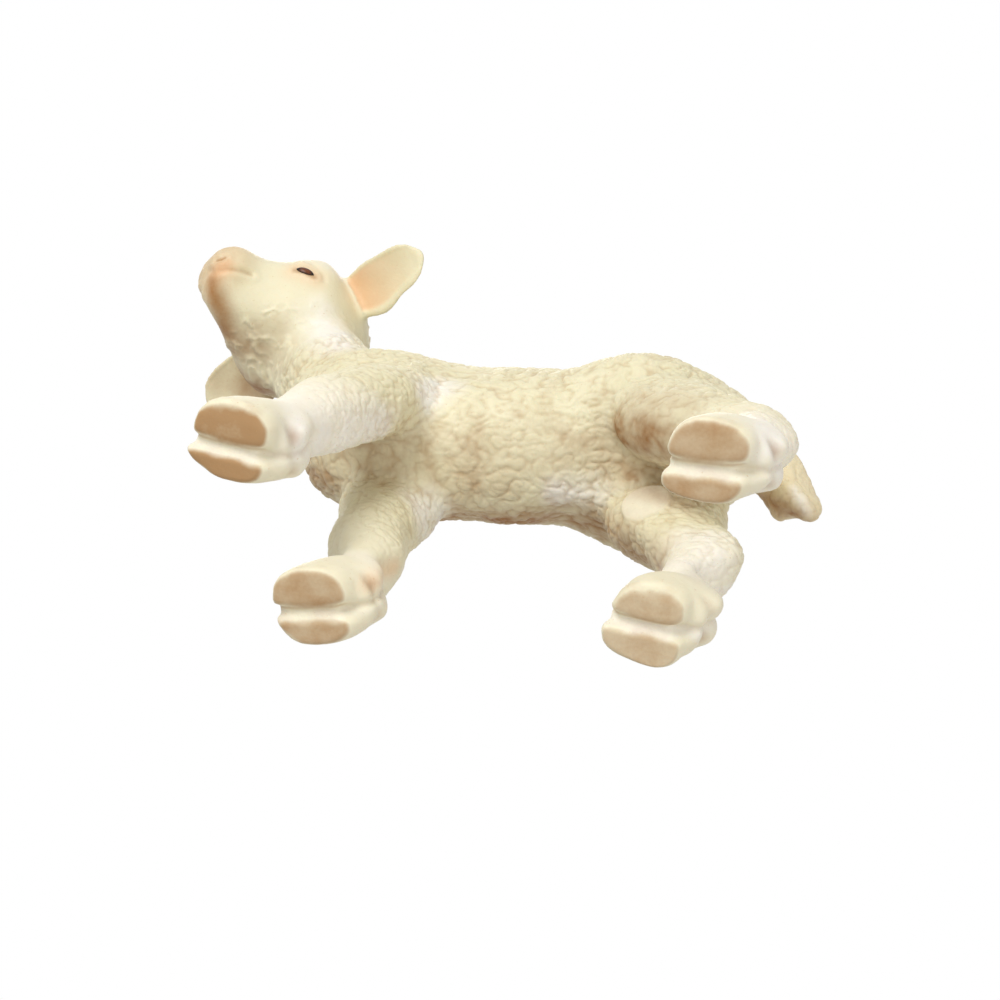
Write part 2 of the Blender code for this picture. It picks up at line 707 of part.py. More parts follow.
def main():
    clear_scene()
    lamb = new_collection("toy_lamb")
    cutters = new_collection("cutters")
    fleece = material("fleece_cream_pvc", (0.86, 0.79, 0.62), 0.45)
    skin = material("face_cream_pvc", (0.90, 0.80, 0.66), 0.42)
    leg_white = material("leg_ivory_pvc", (0.90, 0.86, 0.74), 0.42)
    tail_tan = material("tail_tan_pvc", (0.84, 0.70, 0.48), 0.45)
    torso = make_torso(lamb, fleece)
    head = make_head(torso, lamb, cutters, skin)
    make_ear("ear_left", 1, head, lamb, cutters, skin)
    make_ear("ear_right", -1, head, lamb, cutters, skin)
    make_tail(torso, lamb, cutters, tail_tan)
    root_height = TRUNK_AXIS_HEIGHT - TRUNK_DEPTH / 2 * LEG_ROOT_SHARE
    fore, hind = foreleg_stations, hind_leg_stations
    fore_back, hind_back = FORE_FETLOCK_SETBACK, HIND_FETLOCK_SETBACK
    legs = (
        ("foreleg_left", 1, FORE_ROOT_X, FORE_ROOT_SPREAD_LEFT, FORE_STRIDE_LEFT, FORE_STANCE_LEFT,
         FORE_TOE_OUT_LEFT, fore_back, fore),
        ("foreleg_right", -1, FORE_ROOT_X, FORE_ROOT_SPREAD_RIGHT, FORE_STRIDE_RIGHT, FORE_STANCE_RIGHT,
         FORE_TOE_OUT_RIGHT, fore_back, fore),
        ("hindleg_left", 1, HIND_ROOT_X, HIND_ROOT_SPREAD, HIND_STRIDE_LEFT, HIND_STANCE_LEFT,
         HIND_TOE_OUT_LEFT, hind_back, hind),
        ("hindleg_right", -1, HIND_ROOT_X, HIND_ROOT_SPREAD, HIND_STRIDE_RIGHT, HIND_STANCE_RIGHT,
         HIND_TOE_OUT_RIGHT, hind_back, hind),
    )
    for name, mirror, root_x, spread, stride, stance, toe_out, setback, upper in legs:
        root = Vector((root_x, mirror * spread, root_height))
        foot = Vector((root_x + stride, mirror * stance, 0))
        make_leg(name, mirror, foot, toe_out, setback, root, upper, torso, lamb, cutters, leg_white)
    for cutter in cutters.objects:
        cutter.hide_render = True
        cutter.display_type = "WIRE"
    centre_on_origin(lamb.objects, cutters.objects)


main()
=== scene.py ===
import json
import math
import bmesh
import bpy
import numpy as np
from mathutils import Matrix, Vector, noise
from mathutils.bvhtree import BVHTree
from mathutils.kdtree import KDTree


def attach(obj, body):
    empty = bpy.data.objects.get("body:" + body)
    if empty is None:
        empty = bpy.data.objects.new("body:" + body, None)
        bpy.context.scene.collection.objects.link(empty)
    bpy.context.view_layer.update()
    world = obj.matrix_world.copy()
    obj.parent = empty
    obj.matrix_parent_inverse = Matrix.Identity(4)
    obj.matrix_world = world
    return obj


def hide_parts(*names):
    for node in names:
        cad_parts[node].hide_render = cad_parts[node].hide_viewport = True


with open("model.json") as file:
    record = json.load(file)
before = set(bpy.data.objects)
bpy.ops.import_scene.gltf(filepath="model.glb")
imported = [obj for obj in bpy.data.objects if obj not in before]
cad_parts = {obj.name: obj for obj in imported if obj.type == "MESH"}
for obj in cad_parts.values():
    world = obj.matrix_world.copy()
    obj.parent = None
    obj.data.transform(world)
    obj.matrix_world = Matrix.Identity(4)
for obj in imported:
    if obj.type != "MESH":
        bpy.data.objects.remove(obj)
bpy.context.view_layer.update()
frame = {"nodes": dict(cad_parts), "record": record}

mm = 0.001  # the skin is worked in millimetres and goes back to metres at the end
scene = bpy.context.scene

# Camera: the lamb stands on z = 0 and is seen from under its hooves
cameraView = {
    "place": (-27.693, 33.362, -108.052),
    "right": (-0.98045599, 0.01869025, 0.19584873),
    "up": (0.07409446, 0.95725981, 0.27957767),
    "ahead": (0.18225274, -0.28862491, 0.93993596),
    "lens": 63.45,
    "sensor": 36,
}
cameraData = bpy.data.cameras.new("camera")
cameraData.lens = cameraView["lens"]
cameraData.sensor_width = cameraView["sensor"]
cameraData.clip_start = mm
camera = bpy.data.objects.new("camera", cameraData)
turn = Matrix((cameraView["right"], cameraView["up"], [-part for part in cameraView["ahead"]])).transposed()
camera.matrix_world = Matrix.Translation(Vector(cameraView["place"])*mm) @ turn.to_4x4()
scene.collection.objects.link(camera)
scene.camera = camera

legNodes = ("foreleg_left", "foreleg_right", "hindleg_left", "hindleg_right")
nodeNames = ("torso", "head", "ear_left", "ear_right") + legNodes + ("tail",)
slotOf = {part["node"]: part["material_slot"] for part in frame["record"]["subparts"]}

# Feet: middle of each hoof on the ground, the way its toe points, in degrees from +X, how strong
# the tan on its soles is, how far it is rubbed off the right claw, how far the cleft runs to the
# lamb's right of the middle at toe and heel, in mm, and how round the left claw's outer edge is
feet = {
    "foreleg_left": {
        "middle": (11.91, 2.90), "toe": 12, "tan": 1.0, "worn": 0.7, "cleft": (0.60, 0.40), "rim": 0.40},
    "foreleg_right": {
        "middle": (6.41, -8.50), "toe": -7, "tan": 0.75, "worn": 0.5, "cleft": (0.30, 0.30), "rim": 0.1},
    "hindleg_left": {
        "middle": (-19.89, 3.80), "toe": 9, "tan": 0.75, "worn": 0.7, "cleft": (0.75, 0.15), "rim": 0.1},
    "hindleg_right": {
        "middle": (-16.29, -7.40), "toe": 8, "tan": 0.60, "worn": 0.8, "cleft": (0.15, 0.10), "rim": 0.5},
}

skinMake = {
    "weld": 0.002,             # mm
    "swell": 0.9,              # closes the glue lines and rounds the roots of the limbs
    "earSwell": 0.25,
    "clipHeight": 5.0,         # the hooves keep their own edges
    "coarseVoxel": 0.3,
    "earVoxel": 0.15,
    "voxel": 0.125,
    "web": (3.05, 0.60, 2.5),  # half sizes of the ridge between the claws
    "webHeight": 2.72,
    "webSquareness": 0.7,
    "hoofLean": 0.4,
    "votes": 6,                # rounds in which the border between two pieces evens out
    "lipDepth": 0.8,           # how far under the skin each piece is closed
}

smoothing = {
    "voxel": 0.14,             # mm, the voxel that the rounds below are counted for
    "all": 5, "body": 60, "roots": 70, "ankles": 110,
    "hoofTop": (2.8, 5.0),     # below it the hooves keep their form
    "hoofShare": 0.22,
    "earKeep": 0.8, "earRootKeep": 0.7,
    "rootMix": (0.6, 0.98), "rootGain": 1.6,
    "ankleBack": (-1.2, -2.2), "ankleLow": (1.2, 2.4), "ankleHigh": (9.0, 7.0),
}


def smoothStep(low, high, values):
    share = np.clip((values - low)/(high - low), 0.0, 1.0)
    return share*share*(3 - 2*share)


def bump(distance, width):
    return np.exp(-(distance/width)**2)


def lineDistance(places, line):
    # distance from each place to a line of points
    best = np.full(len(places), 1e9)
    for start, end in zip(np.array(line[:-1], dtype=float), np.array(line[1:], dtype=float)):
        along = end - start
        share = np.clip(((places - start) @ along)/(along @ along), 0, 1)
        best = np.minimum(best, np.linalg.norm(places - start - share[:, None]*along, axis=1))
    return best


def readPoints(mesh, key="co"):
    values = np.empty(len(mesh.vertices)*3)
    mesh.vertices.foreach_get(key, values)
    return values.reshape(-1, 3)


def writePoints(mesh, points):
    mesh.vertices.foreach_set("co", points.ravel())
    mesh.update()


def meshFrom(shape, name):
    mesh = bpy.data.meshes.new(name)
    shape.to_mesh(mesh)
    shape.free()
    return mesh


def rimOf(shape):
    return [edge for edge in shape.edges if edge.is_boundary]


def solidOf(name):
    shape = bmesh.new()
    shape.from_mesh(frame["nodes"][name].data)
    bmesh.ops.scale(shape, vec=(1/mm,)*3, verts=shape.verts)
    bmesh.ops.remove_doubles(shape, verts=shape.verts, dist=skinMake["weld"])
    return meshFrom(shape, "solid")


def joined(meshes):
    shape = bmesh.new()
    for mesh in meshes:
        shape.from_mesh(mesh)
    return meshFrom(shape, "joined")


def pushed(mesh, distance):
    writePoints(mesh, readPoints(mesh) + readPoints(mesh, "normal")*distance)
    return mesh


def remeshed(mesh, voxel):
    worker = bpy.data.objects.new("worker", mesh)
    scene.collection.objects.link(worker)
    step = worker.modifiers.new("voxels", "REMESH")
    step.mode = "VOXEL"
    step.voxel_size = voxel
    result = bpy.data.meshes.new_from_object(worker.evaluated_get(bpy.context.evaluated_depsgraph_get()))
    bpy.data.objects.remove(worker)
    return result


def closedOver(mesh, swell, voxel):
    # swells a mesh until its gaps close, remeshes it and takes the swell off again
    return pushed(remeshed(pushed(mesh, swell), voxel), -swell)


def clipped(mesh, height):
    shape = bmesh.new()
    shape.from_mesh(mesh)
    everything = list(shape.verts) + list(shape.edges) + list(shape.faces)
    bmesh.ops.bisect_plane(shape, geom=everything, plane_co=(0, 0, height), plane_no=(0, 0, 1), clear_inner=True)
    bmesh.ops.holes_fill(shape, edges=rimOf(shape), sides=0)
    return meshFrom(shape, "cut")


def clawWeb(foot):
    shape = bmesh.new()
    bmesh.ops.create_icosphere(shape, subdivisions=4, radius=1.0)
    for vertex in shape.verts:
        along, across, high = (math.copysign(abs(part)**skinMake["webSquareness"], part)*size
                               for part, size in zip(vertex.co, skinMake["web"]))
        high += skinMake["webHeight"]
        vertex.co = (along - skinMake["hoofLean"]*high, across, high)
    place = Matrix.Translation((*foot["middle"], 0)) @ Matrix.Rotation(math.radians(foot["toe"]), 4, "Z")
    bmesh.ops.transform(shape, matrix=place, verts=shape.verts)
    return meshFrom(shape, "web")


# One skin over the nine solids, with the glue lines closed as on the painted figure
solids = {name: solidOf(name) for name in nodeNames}
limbs = [name for name in nodeNames if not name.startswith("ear")]
bodyCore = closedOver(joined([clipped(solids[name], skinMake["clipHeight"]) for name in limbs]),
                      skinMake["swell"], skinMake["coarseVoxel"])
earCore = closedOver(joined([solids[name] for name in ("head", "ear_left", "ear_right")]),
                     skinMake["earSwell"], skinMake["earVoxel"])
webs = [clawWeb(foot) for foot in feet.values()]
skin = remeshed(joined([bodyCore, earCore] + list(solids.values()) + webs), skinMake["voxel"])
points = readPoints(skin)
edges = np.empty(len(skin.edges)*2, dtype=np.int64)
skin.edges.foreach_get("vertices", edges)
edges = edges.reshape(-1, 2)
ends = np.concatenate([edges[:, 0], edges[:, 1]])
others = np.concatenate([edges[:, 1], edges[:, 0]])
neighbours = np.maximum(np.bincount(ends, minlength=len(points)), 1)
print("skin remeshed:", len(points), "points")


def spreadOver(values, rounds, amount=0.5):
    # averages each point with its neighbours along the skin, a set number of times
    flat = values.reshape(len(values), -1).copy()
    share = np.broadcast_to(np.asarray(amount, dtype=float).reshape(-1, 1), (len(flat), 1))
    for _ in range(rounds):
        mean = np.stack([np.bincount(ends, column[others], len(flat)) for column in flat.T], axis=1)
        flat += (mean/neighbours[:, None] - flat)*share
    return flat.reshape(values.shape)


# Which solid each point belongs to
corners, triangles, owners = [], [], []
for index, name in enumerate(nodeNames):
    start = len(corners)
    corners += [vertex.co for vertex in solids[name].vertices]
    triangles += [[start + corner for corner in face.vertices] for face in solids[name].polygons]
    owners += [index]*len(solids[name].polygons)
solidTree = BVHTree.FromPolygons(corners, triangles)
label = np.array([owners[solidTree.find_nearest(point)[2]] for point in points.tolist()])
for _ in range(skinMake["votes"]):
    votes = np.stack([np.bincount(ends, label[others] == index, len(points)) for index in range(len(nodeNames))])
    label = votes.argmax(axis=0)
isNode = {name: label == index for index, name in enumerate(nodeNames)}
onLeg = np.isin(label, [nodeNames.index(name) for name in legNodes])
onEar = isNode["ear_left"] | isNode["ear_right"]
softEar = spreadOver(onEar.astype(float), 10)
fine = smoothing["voxel"]/skinMake["voxel"]


def roundsFor(count, least=1):
    # keeps the smoothing as wide at any voxel
    return int(count*fine**2) + least


aboveHoof = smoothStep(*smoothing["hoofTop"], points[:, 2])
smoothness = np.maximum(aboveHoof*(1 - smoothing["earKeep"]*softEar), smoothing["hoofShare"])
points = spreadOver(points, smoothing["all"])
points = spreadOver(points, roundsFor(smoothing["body"]), 0.5*smoothness)
purest = np.stack([spreadOver(isNode[name].astype(float), 12) for name in nodeNames]).max(axis=0)
rootBand = spreadOver(1 - smoothStep(*smoothing["rootMix"], purest), 6)*aboveHoof
rootBand *= 1 - smoothing["earRootKeep"]*softEar
points = spreadOver(points, roundsFor(smoothing["roots"]), 0.5*np.clip(rootBand*smoothing["rootGain"], 0, 1))
ankle = np.zeros(len(points))
for name, foot in feet.items():
    toe = math.radians(foot["toe"])
    along = (points[:, :2] - np.array(foot["middle"])) @ np.array((math.cos(toe), math.sin(toe)))
    along += skinMake["hoofLean"]*(points[:, 2] - 2)
    ankle = np.maximum(ankle, isNode[name]*smoothStep(*smoothing["ankleBack"], along))
ankle *= smoothStep(*smoothing["ankleLow"], points[:, 2])*smoothStep(*smoothing["ankleHigh"], points[:, 2])
points = spreadOver(points, roundsFor(smoothing["ankles"]), 0.5*spreadOver(ankle, 6))

# Corrections of the skin's outline, up to about 2 mm, fitted to the outline in the camera's view and
# applied in this order: place, shift to the picture's right and up, and reach, all in mm
nudges = [
    ((23.18, 5.79, 30.25), (-0.45, -0.20), 2.2),   # chin
    ((22.61, 2.83, 31.64), (-0.45, -0.15), 2.5),   # jaw
    ((20.60, 10.30, 32.20), (0.05, -0.45), 2.2),   # nose
    ((24.94, 8.02, 30.45), (0.42, 0.00), 2.0),
    ((12.00, 3.20, 35.41), (-0.60, 0.00), 3.0),    # nape
    ((6.60, 4.41, 22.00), (0.00, -0.60), 3.2),     # shoulder
    ((1.33, 3.24, 23.38), (0.00, -0.40), 2.5),
    ((0.57, 3.25, 24.31), (0.00, -0.30), 3.5),
    ((-9.88, 4.02, 23.01), (0.00, 0.40), 3.2),     # haunch
    ((-13.69, 4.80, 23.03), (0.00, 0.12), 3.5),
    ((-20.03, 2.46, 26.18), (-0.10, -0.05), 3.0),
    ((-20.26, 4.62, 14.16), (-0.15, -0.20), 1.5),
    ((12.09, -6.24, 22.15), (-0.25, -0.45), 3.0),  # chest
    ((2.46, -7.52, 18.41), (0.60, -0.30), 2.5),    # right elbow
    ((0.33, -8.05, 20.98), (0.00, 0.40), 2.0),
    ((-9.87, -8.02, 20.63), (0.00, 0.50), 3.5),    # right flank
    ((-13.57, -8.27, 14.90), (0.20, 0.50), 3.0),
    ((-20.90, -5.70, 12.60), (0.85, 0.00), 2.2),   # right hock
    ((-20.94, -7.34, 8.00), (-1.60, 0.00), 2.4),
    ((21.50, -1.50, 33.60), (0.00, -0.60), 2.5),   # throat
    ((20.40, 0.30, 32.20), (0.00, -0.70), 2.0),
    ((22.40, -3.10, 38.00), (0.00, -0.80), 2.5),   # right ear
    ((26.75, -1.80, 37.90), (-0.20, 0.00), 2.5),
    ((10.68, 9.36, 36.14), (0.15, -0.55), 2.6),    # left ear
    ((9.05, 7.03, 35.24), (-0.10, 0.25), 1.6),
    ((10.20, 4.60, 36.00), (0.30, -0.40), 1.8),
    ((13.82, 8.00, 37.24), (0.10, -0.25), 1.5),
    ((23.80, 9.70, 31.30), (-0.10, 0.30), 1.4),    # nose
    ((24.38, 7.80, 29.88), (0.35, 0.00), 1.6),
    ((16.99, 8.62, 33.97), (0.00, 0.10), 1.8),     # brow
    ((10.57, 3.20, 31.19), (-0.50, -0.15), 2.2),   # neck
    ((8.60, 0.80, 1.50), (0.00, -0.35), 2.0),      # left fore hoof
    ((7.40, 0.90, 2.80), (0.00, -0.40), 1.8),
    ((14.30, 3.10, 0.40), (-0.40, 0.00), 0.8),
    ((14.10, 1.00, 0.20), (0.40, 0.10), 1.1),
    ((6.70, -6.60, 7.20), (0.65, 0.00), 2.6),      # right foreleg
    ((2.09, -7.68, 8.30), (0.35, 0.20), 2.0),
    ((2.00, -7.90, 6.00), (-0.90, 0.00), 1.5),
    ((2.30, -7.90, 2.20), (0.35, 0.00), 1.3),
    ((8.80, -8.90, 0.50), (-0.35, 0.00), 0.8),
    ((8.20, -10.60, 0.20), (0.35, 0.10), 1.3),
    ((2.60, -9.20, 1.50), (0.10, -0.40), 1.8),
    ((1.90, -7.72, 3.66), (-0.30, 0.00), 1.8),
    ((-8.06, -8.10, 21.00), (0.00, 0.60), 2.6),    # right flank and thigh
    ((-14.17, -7.96, 14.12), (0.00, 0.75), 2.5),
    ((-20.60, -7.20, 24.00), (0.00, 2.00), 3.6),   # rump
    ((-15.18, -5.72, 0.00), (0.85, -0.35), 1.8),   # right hind hoof
    ((-13.80, -7.00, 0.50), (-0.30, 0.00), 0.8),
    ((-17.98, -9.58, 0.00), (0.00, -0.50), 2.2),
    ((-20.60, -9.01, 1.94), (-0.30, 0.00), 1.5),
    ((-24.35, 4.29, 10.65), (-0.25, -0.15), 2.0),  # left hock
    ((-25.10, 2.90, 10.00), (0.60, -0.10), 1.6),
    ((-26.60, -2.80, 22.60), (-0.45, -1.10), 2.2), # tail
    ((-25.60, -6.20, 20.60), (0.20, 0.05), 1.8),
    ((-23.35, -5.37, 23.40), (0.00, -2.10), 1.7),
]
viewRight, viewUp = np.array(cameraView["right"]), np.array(cameraView["up"])
for place, (shiftRight, shiftUp), reach in nudges:
    weight = bump(np.linalg.norm(points - np.array(place), axis=1), reach)[:, None]
    points = points + weight*(viewRight*shiftRight + viewUp*shiftUp)
points[:, 2] = np.maximum(points[:, 2], 0.0)
writePoints(skin, points)
normals = readPoints(skin, "normal").copy()
print("skin smoothed")

# Head frame: centre, the way the muzzle points, and the head's own left and top
headPose = {"centre": (18.10, 2.62, 36.12), "yaw": 47, "pitch": -18, "roll": 17}
yaw, pitch, roll = (math.radians(headPose[key]) for key in ("yaw", "pitch", "roll"))
forward = Vector((math.cos(yaw)*math.cos(pitch), math.sin(yaw)*math.cos(pitch), math.sin(pitch)))
levelLeft = Vector((-math.sin(yaw), math.cos(yaw), 0))
levelTop = forward.cross(levelLeft)
headLeft = levelLeft*math.cos(roll) - levelTop*math.sin(roll)
headTop = levelTop*math.cos(roll) + levelLeft*math.sin(roll)
inHead = (points - np.array(headPose["centre"])) @ np.array([forward, headLeft, headTop]).T
ahead, side, top = inHead.T
onHead = isNode["head"].astype(float)

# Recesses: how much of the sky each part of the skin sees within reach, from rays spread evenly. The tan wash paints
# shade into the sheltered places from it
recess = {"voxel": 0.6, "rays": 56, "reach": 9.0, "start": 0.35, "grazing": 0.12, "fade": 0.6, "spread": 90}
coarse = remeshed(skin, recess["voxel"])
coarsePoints, coarseNormals = readPoints(coarse), readPoints(coarse, "normal")
coarseTree = BVHTree.FromPolygons(coarsePoints.tolist(), [list(face.vertices) for face in coarse.polygons])
golden = math.pi*(3 - math.sqrt(5))
rays = [Vector((math.cos(golden*i)*math.sqrt(1 - h*h), math.sin(golden*i)*math.sqrt(1 - h*h), h))
        for i, h in enumerate(1 - 2*(np.arange(recess["rays"]) + 0.5)/recess["rays"])]
hidden = np.zeros(len(coarsePoints))
for index, (place, normal) in enumerate(zip(coarsePoints.tolist(), coarseNormals.tolist())):
    normal = Vector(normal)
    origin = Vector(place) + normal*recess["start"]
    weight = blocked = 0.0
    for ray in rays:
        facing = ray.dot(normal)
        if facing > recess["grazing"]:
            weight += facing
            hit = coarseTree.ray_cast(origin, ray, recess["reach"])
            if hit[0] is not None:
                blocked += facing*(1 - recess["fade"]*hit[3]/recess["reach"])
    hidden[index] = blocked/weight
finder = KDTree(len(coarsePoints))
for index, place in enumerate(coarsePoints.tolist()):
    finder.insert(place, index)
finder.balance()
nearest = [finder.find(place)[1] for place in points.tolist()]
shelter = spreadOver(hidden[nearest], roundsFor(recess["spread"], 4))
print("recesses found")

# Fleece: low moulded knobs about a millimetre apart, with creases between them, a fifth of a
# millimetre high in all
fleece = {
    "knob": 1.00,        # mm from knob to knob
    "stretch": 0.90,     # along the body, so they are a little longer than they are wide
    "height": 0.24,
    "level": 0.58,       # the pattern's value that leaves the skin where it is
    "bend": (0.7, 0.3),  # scale and amount of the waviness
    "largeShare": 0.55, "smallShare": 0.40,
    "patchScale": 0.3,
    "bellyShare": 0.75, "tailShare": 0.55,
    "legRows": ([5.0, 8.0, 13.0, 17.5], [0.06, 0.42, 0.75, 1.0]),   # how it fades down the legs, mm and share
}
faceFleece = {           # in the head's frame: top against ahead where it ends, and top against its share
    "ends": ([-4.6, -3.6, -2.6, -1.2, 0.5, 1.8, 3.0, 4.2], [5.6, 5.0, 3.8, 0.6, -2.6, -2.8, -0.6, 1.6]),
    "share": ([-3.0, -1.0, 1.0, 3.0], [0.6, 0.5, 0.45, 0.9]),
    "fade": 1.1, "cheek": (3.0, 5.2), "cheekLoss": 0.65,
}
jawCurls = {             # raised ridges under the jaw, broken up into short curls
    "share": 0.75, "width": (10.0, 4.0), "height": 1.3, "knobs": 0.12, "base": 0.25,
    "breaks": (1.15, (3.1, 5.7, 8.3), 0.55, 1.6),
}
patterns = {             # scale, offset and steepness
    "large": (1.0, (0.0, 0.0, 0.0), 2.2),
    "small": (1.8, (1.7, 9.2, 3.3), 2.3),
    "ridge": (1.2, (7.3, 1.1, 4.2), 2.8),
}
headWool = 1 - smoothStep(-faceFleece["fade"], faceFleece["fade"], ahead - np.interp(top, *faceFleece["ends"]))
onCheek = smoothStep(*faceFleece["cheek"], np.abs(side))
headWool *= np.interp(top, *faceFleece["share"])*(1 - faceFleece["cheekLoss"]*onCheek)
wool = np.where(isNode["torso"], 1.0, 0.0)
wool = np.where(isNode["head"], headWool, wool)
wool = np.where(onLeg, np.interp(points[:, 2], *fleece["legRows"]), wool)
wool = np.where(isNode["tail"], fleece["tailShare"], wool)
wool = spreadOver(wool, 24)*(1 - softEar)

# A plain round disc on the inside of the right thigh, and smoother fleece in the groin
flatDisc = {"middle": (-14.51, -4.36, 16.81), "facing": (0.27, 0.72, -0.64), "radius": 1.95, "height": 0.20,
            "edge": 0.10, "behind": 1.8, "flatness": 0.35, "rimAt": 0.94, "rimWidth": 0.13, "rimHeight": 0.06}
discFacing = np.array(Vector(flatDisc["facing"]).normalized())
fromDisc = points - np.array(flatDisc["middle"])
discDepth = fromDisc @ discFacing
discReach = np.linalg.norm(fromDisc - discDepth[:, None]*discFacing, axis=1)
facesDisc = (np.abs(discDepth) < flatDisc["behind"])*(normals @ discFacing > 0.2)
onDisc = 1 - smoothStep(flatDisc["radius"] - flatDisc["edge"], flatDisc["radius"] + flatDisc["edge"], discReach)
onDisc = onDisc*facesDisc
groin = {"line": [(-12.0, 0.4, 17.6), (-14.0, 0.9, 15.3), (-15.9, 0.8, 13.8)], "reach": 2.2, "loss": 0.65}
wool = wool*(1 - onDisc)
wool = wool*(1 - groin["loss"]*bump(lineDistance(points, groin["line"]), groin["reach"]))
belly = smoothStep(0.55, 0.95, -normals[:, 2])*isNode["torso"]*smoothStep(-11, -7, points[:, 0])
woolHeight = wool*(1 - (1 - fleece["bellyShare"])*belly)


def creases(spot, key):
    # 0 along the creases of a noise and 1 on the broad knobs between them
    scale, offset, steepness = patterns[key]
    return min(1.0, abs(noise.noise(spot*scale + Vector(offset)))*steepness)


def woolHeightAt(place, curled):
    # low knobs of two sizes with soft creases between them, and small raised curls on the jaw;
    # noise_vector gives other values in each run, so the places of the knobs differ between runs
    spot = Vector((place[0]*fleece["stretch"], place[1], place[2]))/fleece["knob"]
    spot += noise.noise_vector(spot*fleece["bend"][0])*fleece["bend"][1]
    large, small = creases(spot, "large"), creases(spot, "small")
    height = fleece["largeShare"]*large*(2 - large) + fleece["smallShare"]*small*(2 - small)
    if curled > 0:
        ridge = 1 - creases(spot, "ridge")
        scale, offset, middle, swing = jawCurls["breaks"]
        ridge *= min(1.0, max(0.0, middle + swing*noise.noise(spot*scale + Vector(offset))))
        ridge = jawCurls["height"]*ridge*ridge*(3 - 2*ridge)
        height += curled*(ridge + jawCurls["knobs"]*small + jawCurls["base"] - height)
    return height, 0.5 + 0.5*noise.noise(spot*fleece["patchScale"])


curled = jawCurls["share"]*spreadOver(onHead, 12)*smoothStep(*jawCurls["width"], np.abs(side))
curl = np.full(len(points), 0.7)
patch = np.full(len(points), 0.5)
for index in np.flatnonzero(wool > 0.01):
    curl[index], patch[index] = woolHeightAt(points[index], curled[index])
relief = (curl - fleece["level"])*fleece["height"]*woolHeight*(0.5 + 1.0*patch)
sculpt = {"lump": 2.2, "height": 0.07}   # the sculptor's hand: smooth skin is never quite even
lumps = np.array([noise.noise(Vector(place)/sculpt["lump"]) for place in points.tolist()])
relief += lumps*sculpt["height"]*smoothStep(1.0, 3.0, points[:, 2])
print("fleece moulded")

# Tail: a fold near its tip, with a soft swelling beside it
tailFold = {"line": [(-25.8, -3.1, 21.3), (-26.7, -4.1, 21.1), (-27.1, -5.0, 21.1)],
            "depth": 0.16, "width": 0.28, "swelling": 0.08, "away": 0.75, "swellingWidth": 0.45}
foldGap = lineDistance(points, tailFold["line"])
relief -= isNode["tail"]*tailFold["depth"]*bump(foldGap, tailFold["width"])
relief += isNode["tail"]*tailFold["swelling"]*bump(foldGap - tailFold["away"], tailFold["swellingWidth"])

# Face: mouth line, nostrils and brows, the same on both sides, in the head's frame
faceLines = {
    "mouth": [(10.15, 0.0, -2.26), (9.78, 1.12, -3.02), (9.16, 2.04, -2.59), (8.24, 2.30, -2.07), (7.31, 2.60, -1.66)],
    "lipGroove": [(10.2, 0.0, -2.2), (10.3, 0.0, -1.5)],
    "nostril": [(10.1, 1.25, -1.75), (9.95, 1.65, -1.75), (9.8, 1.85, -1.55)],
    "brow": [(4.5, 4.75, 1.75), (3.93, 5.19, 1.64), (2.9, 5.7, 1.0), (2.48, 5.89, 0.18)],
    "eye": [(4.60, 4.42, 0.40), (4.05, 4.97, 0.40), (3.34, 5.49, 0.14)],
}
chinLine = [(9.3, 0.2, -3.7), (8.15, -0.1, -4.06), (6.9, -0.5, -4.1), (5.6, -1.6, -4.1)]
mirrored = np.stack([ahead, np.abs(side), top], axis=1)
gaps = {key: lineDistance(mirrored, line) for key, line in faceLines.items()}
faceRelief = [           # line, distance from it, width, and height or depth, in mm
    ("mouth", 0.0, 0.24, -0.12),
    ("mouth", 0.55, 0.3, 0.06),
    ("lipGroove", 0.0, 0.2, -0.08),
    ("nostril", 0.0, 0.26, -0.13),
    ("nostril", 0.5, 0.25, 0.06),
    ("brow", 0.0, 0.26, -0.09),
    ("eye", 0.42, 0.22, 0.10),
]
for key, away, width, height in faceRelief:
    relief += onHead*height*bump(gaps[key] - away, width)

# Ears: a rolled rim, broadest along the lower edge, round a shallow cup
earMake = {"bins": 14, "lowerRim": (0.45, 0.95), "upperRim": (0.15, 0.45), "tip": (0.90, 0.97),
           "rimHeight": 0.13, "cup": 0.05, "root": (0.05, 0.3)}
earRim = np.zeros(len(points))
earAlong = np.zeros(len(points))
for name in ("ear_left", "ear_right"):
    there = np.flatnonzero(isNode[name])
    middle = points[there].mean(axis=0)
    axes = np.linalg.svd(points[there] - middle, full_matrices=False)[2]
    lengthwise = axes[0]*np.sign(axes[0] @ (middle - np.array(headPose["centre"])))
    crosswise = axes[1]*np.sign(axes[1] @ -viewUp)
    along, across = (points[there] - middle) @ lengthwise, (points[there] - middle) @ crosswise
    share = (along - along.min())/(along.max() - along.min())
    bins = np.clip((share*earMake["bins"]).astype(int), 0, earMake["bins"] - 1)
    low = np.array([across[bins == k].min() for k in range(earMake["bins"])])
    high = np.array([across[bins == k].max() for k in range(earMake["bins"])])
    at = (np.arange(earMake["bins"]) + 0.5)/earMake["bins"]
    fromLow, fromHigh = across - np.interp(share, at, low), np.interp(share, at, high) - across
    rim = np.maximum(1 - smoothStep(*earMake["lowerRim"], fromHigh), 1 - smoothStep(*earMake["upperRim"], fromLow))
    earRim[there] = np.maximum(rim, smoothStep(*earMake["tip"], share))
    earAlong[there] = share
earInside = smoothStep(0.25, 0.6, -normals[:, 2])*onEar
earRelief = earMake["rimHeight"]*spreadOver(earRim, 3) - earMake["cup"]
relief += earInside*earRelief*smoothStep(*earMake["root"], earAlong)

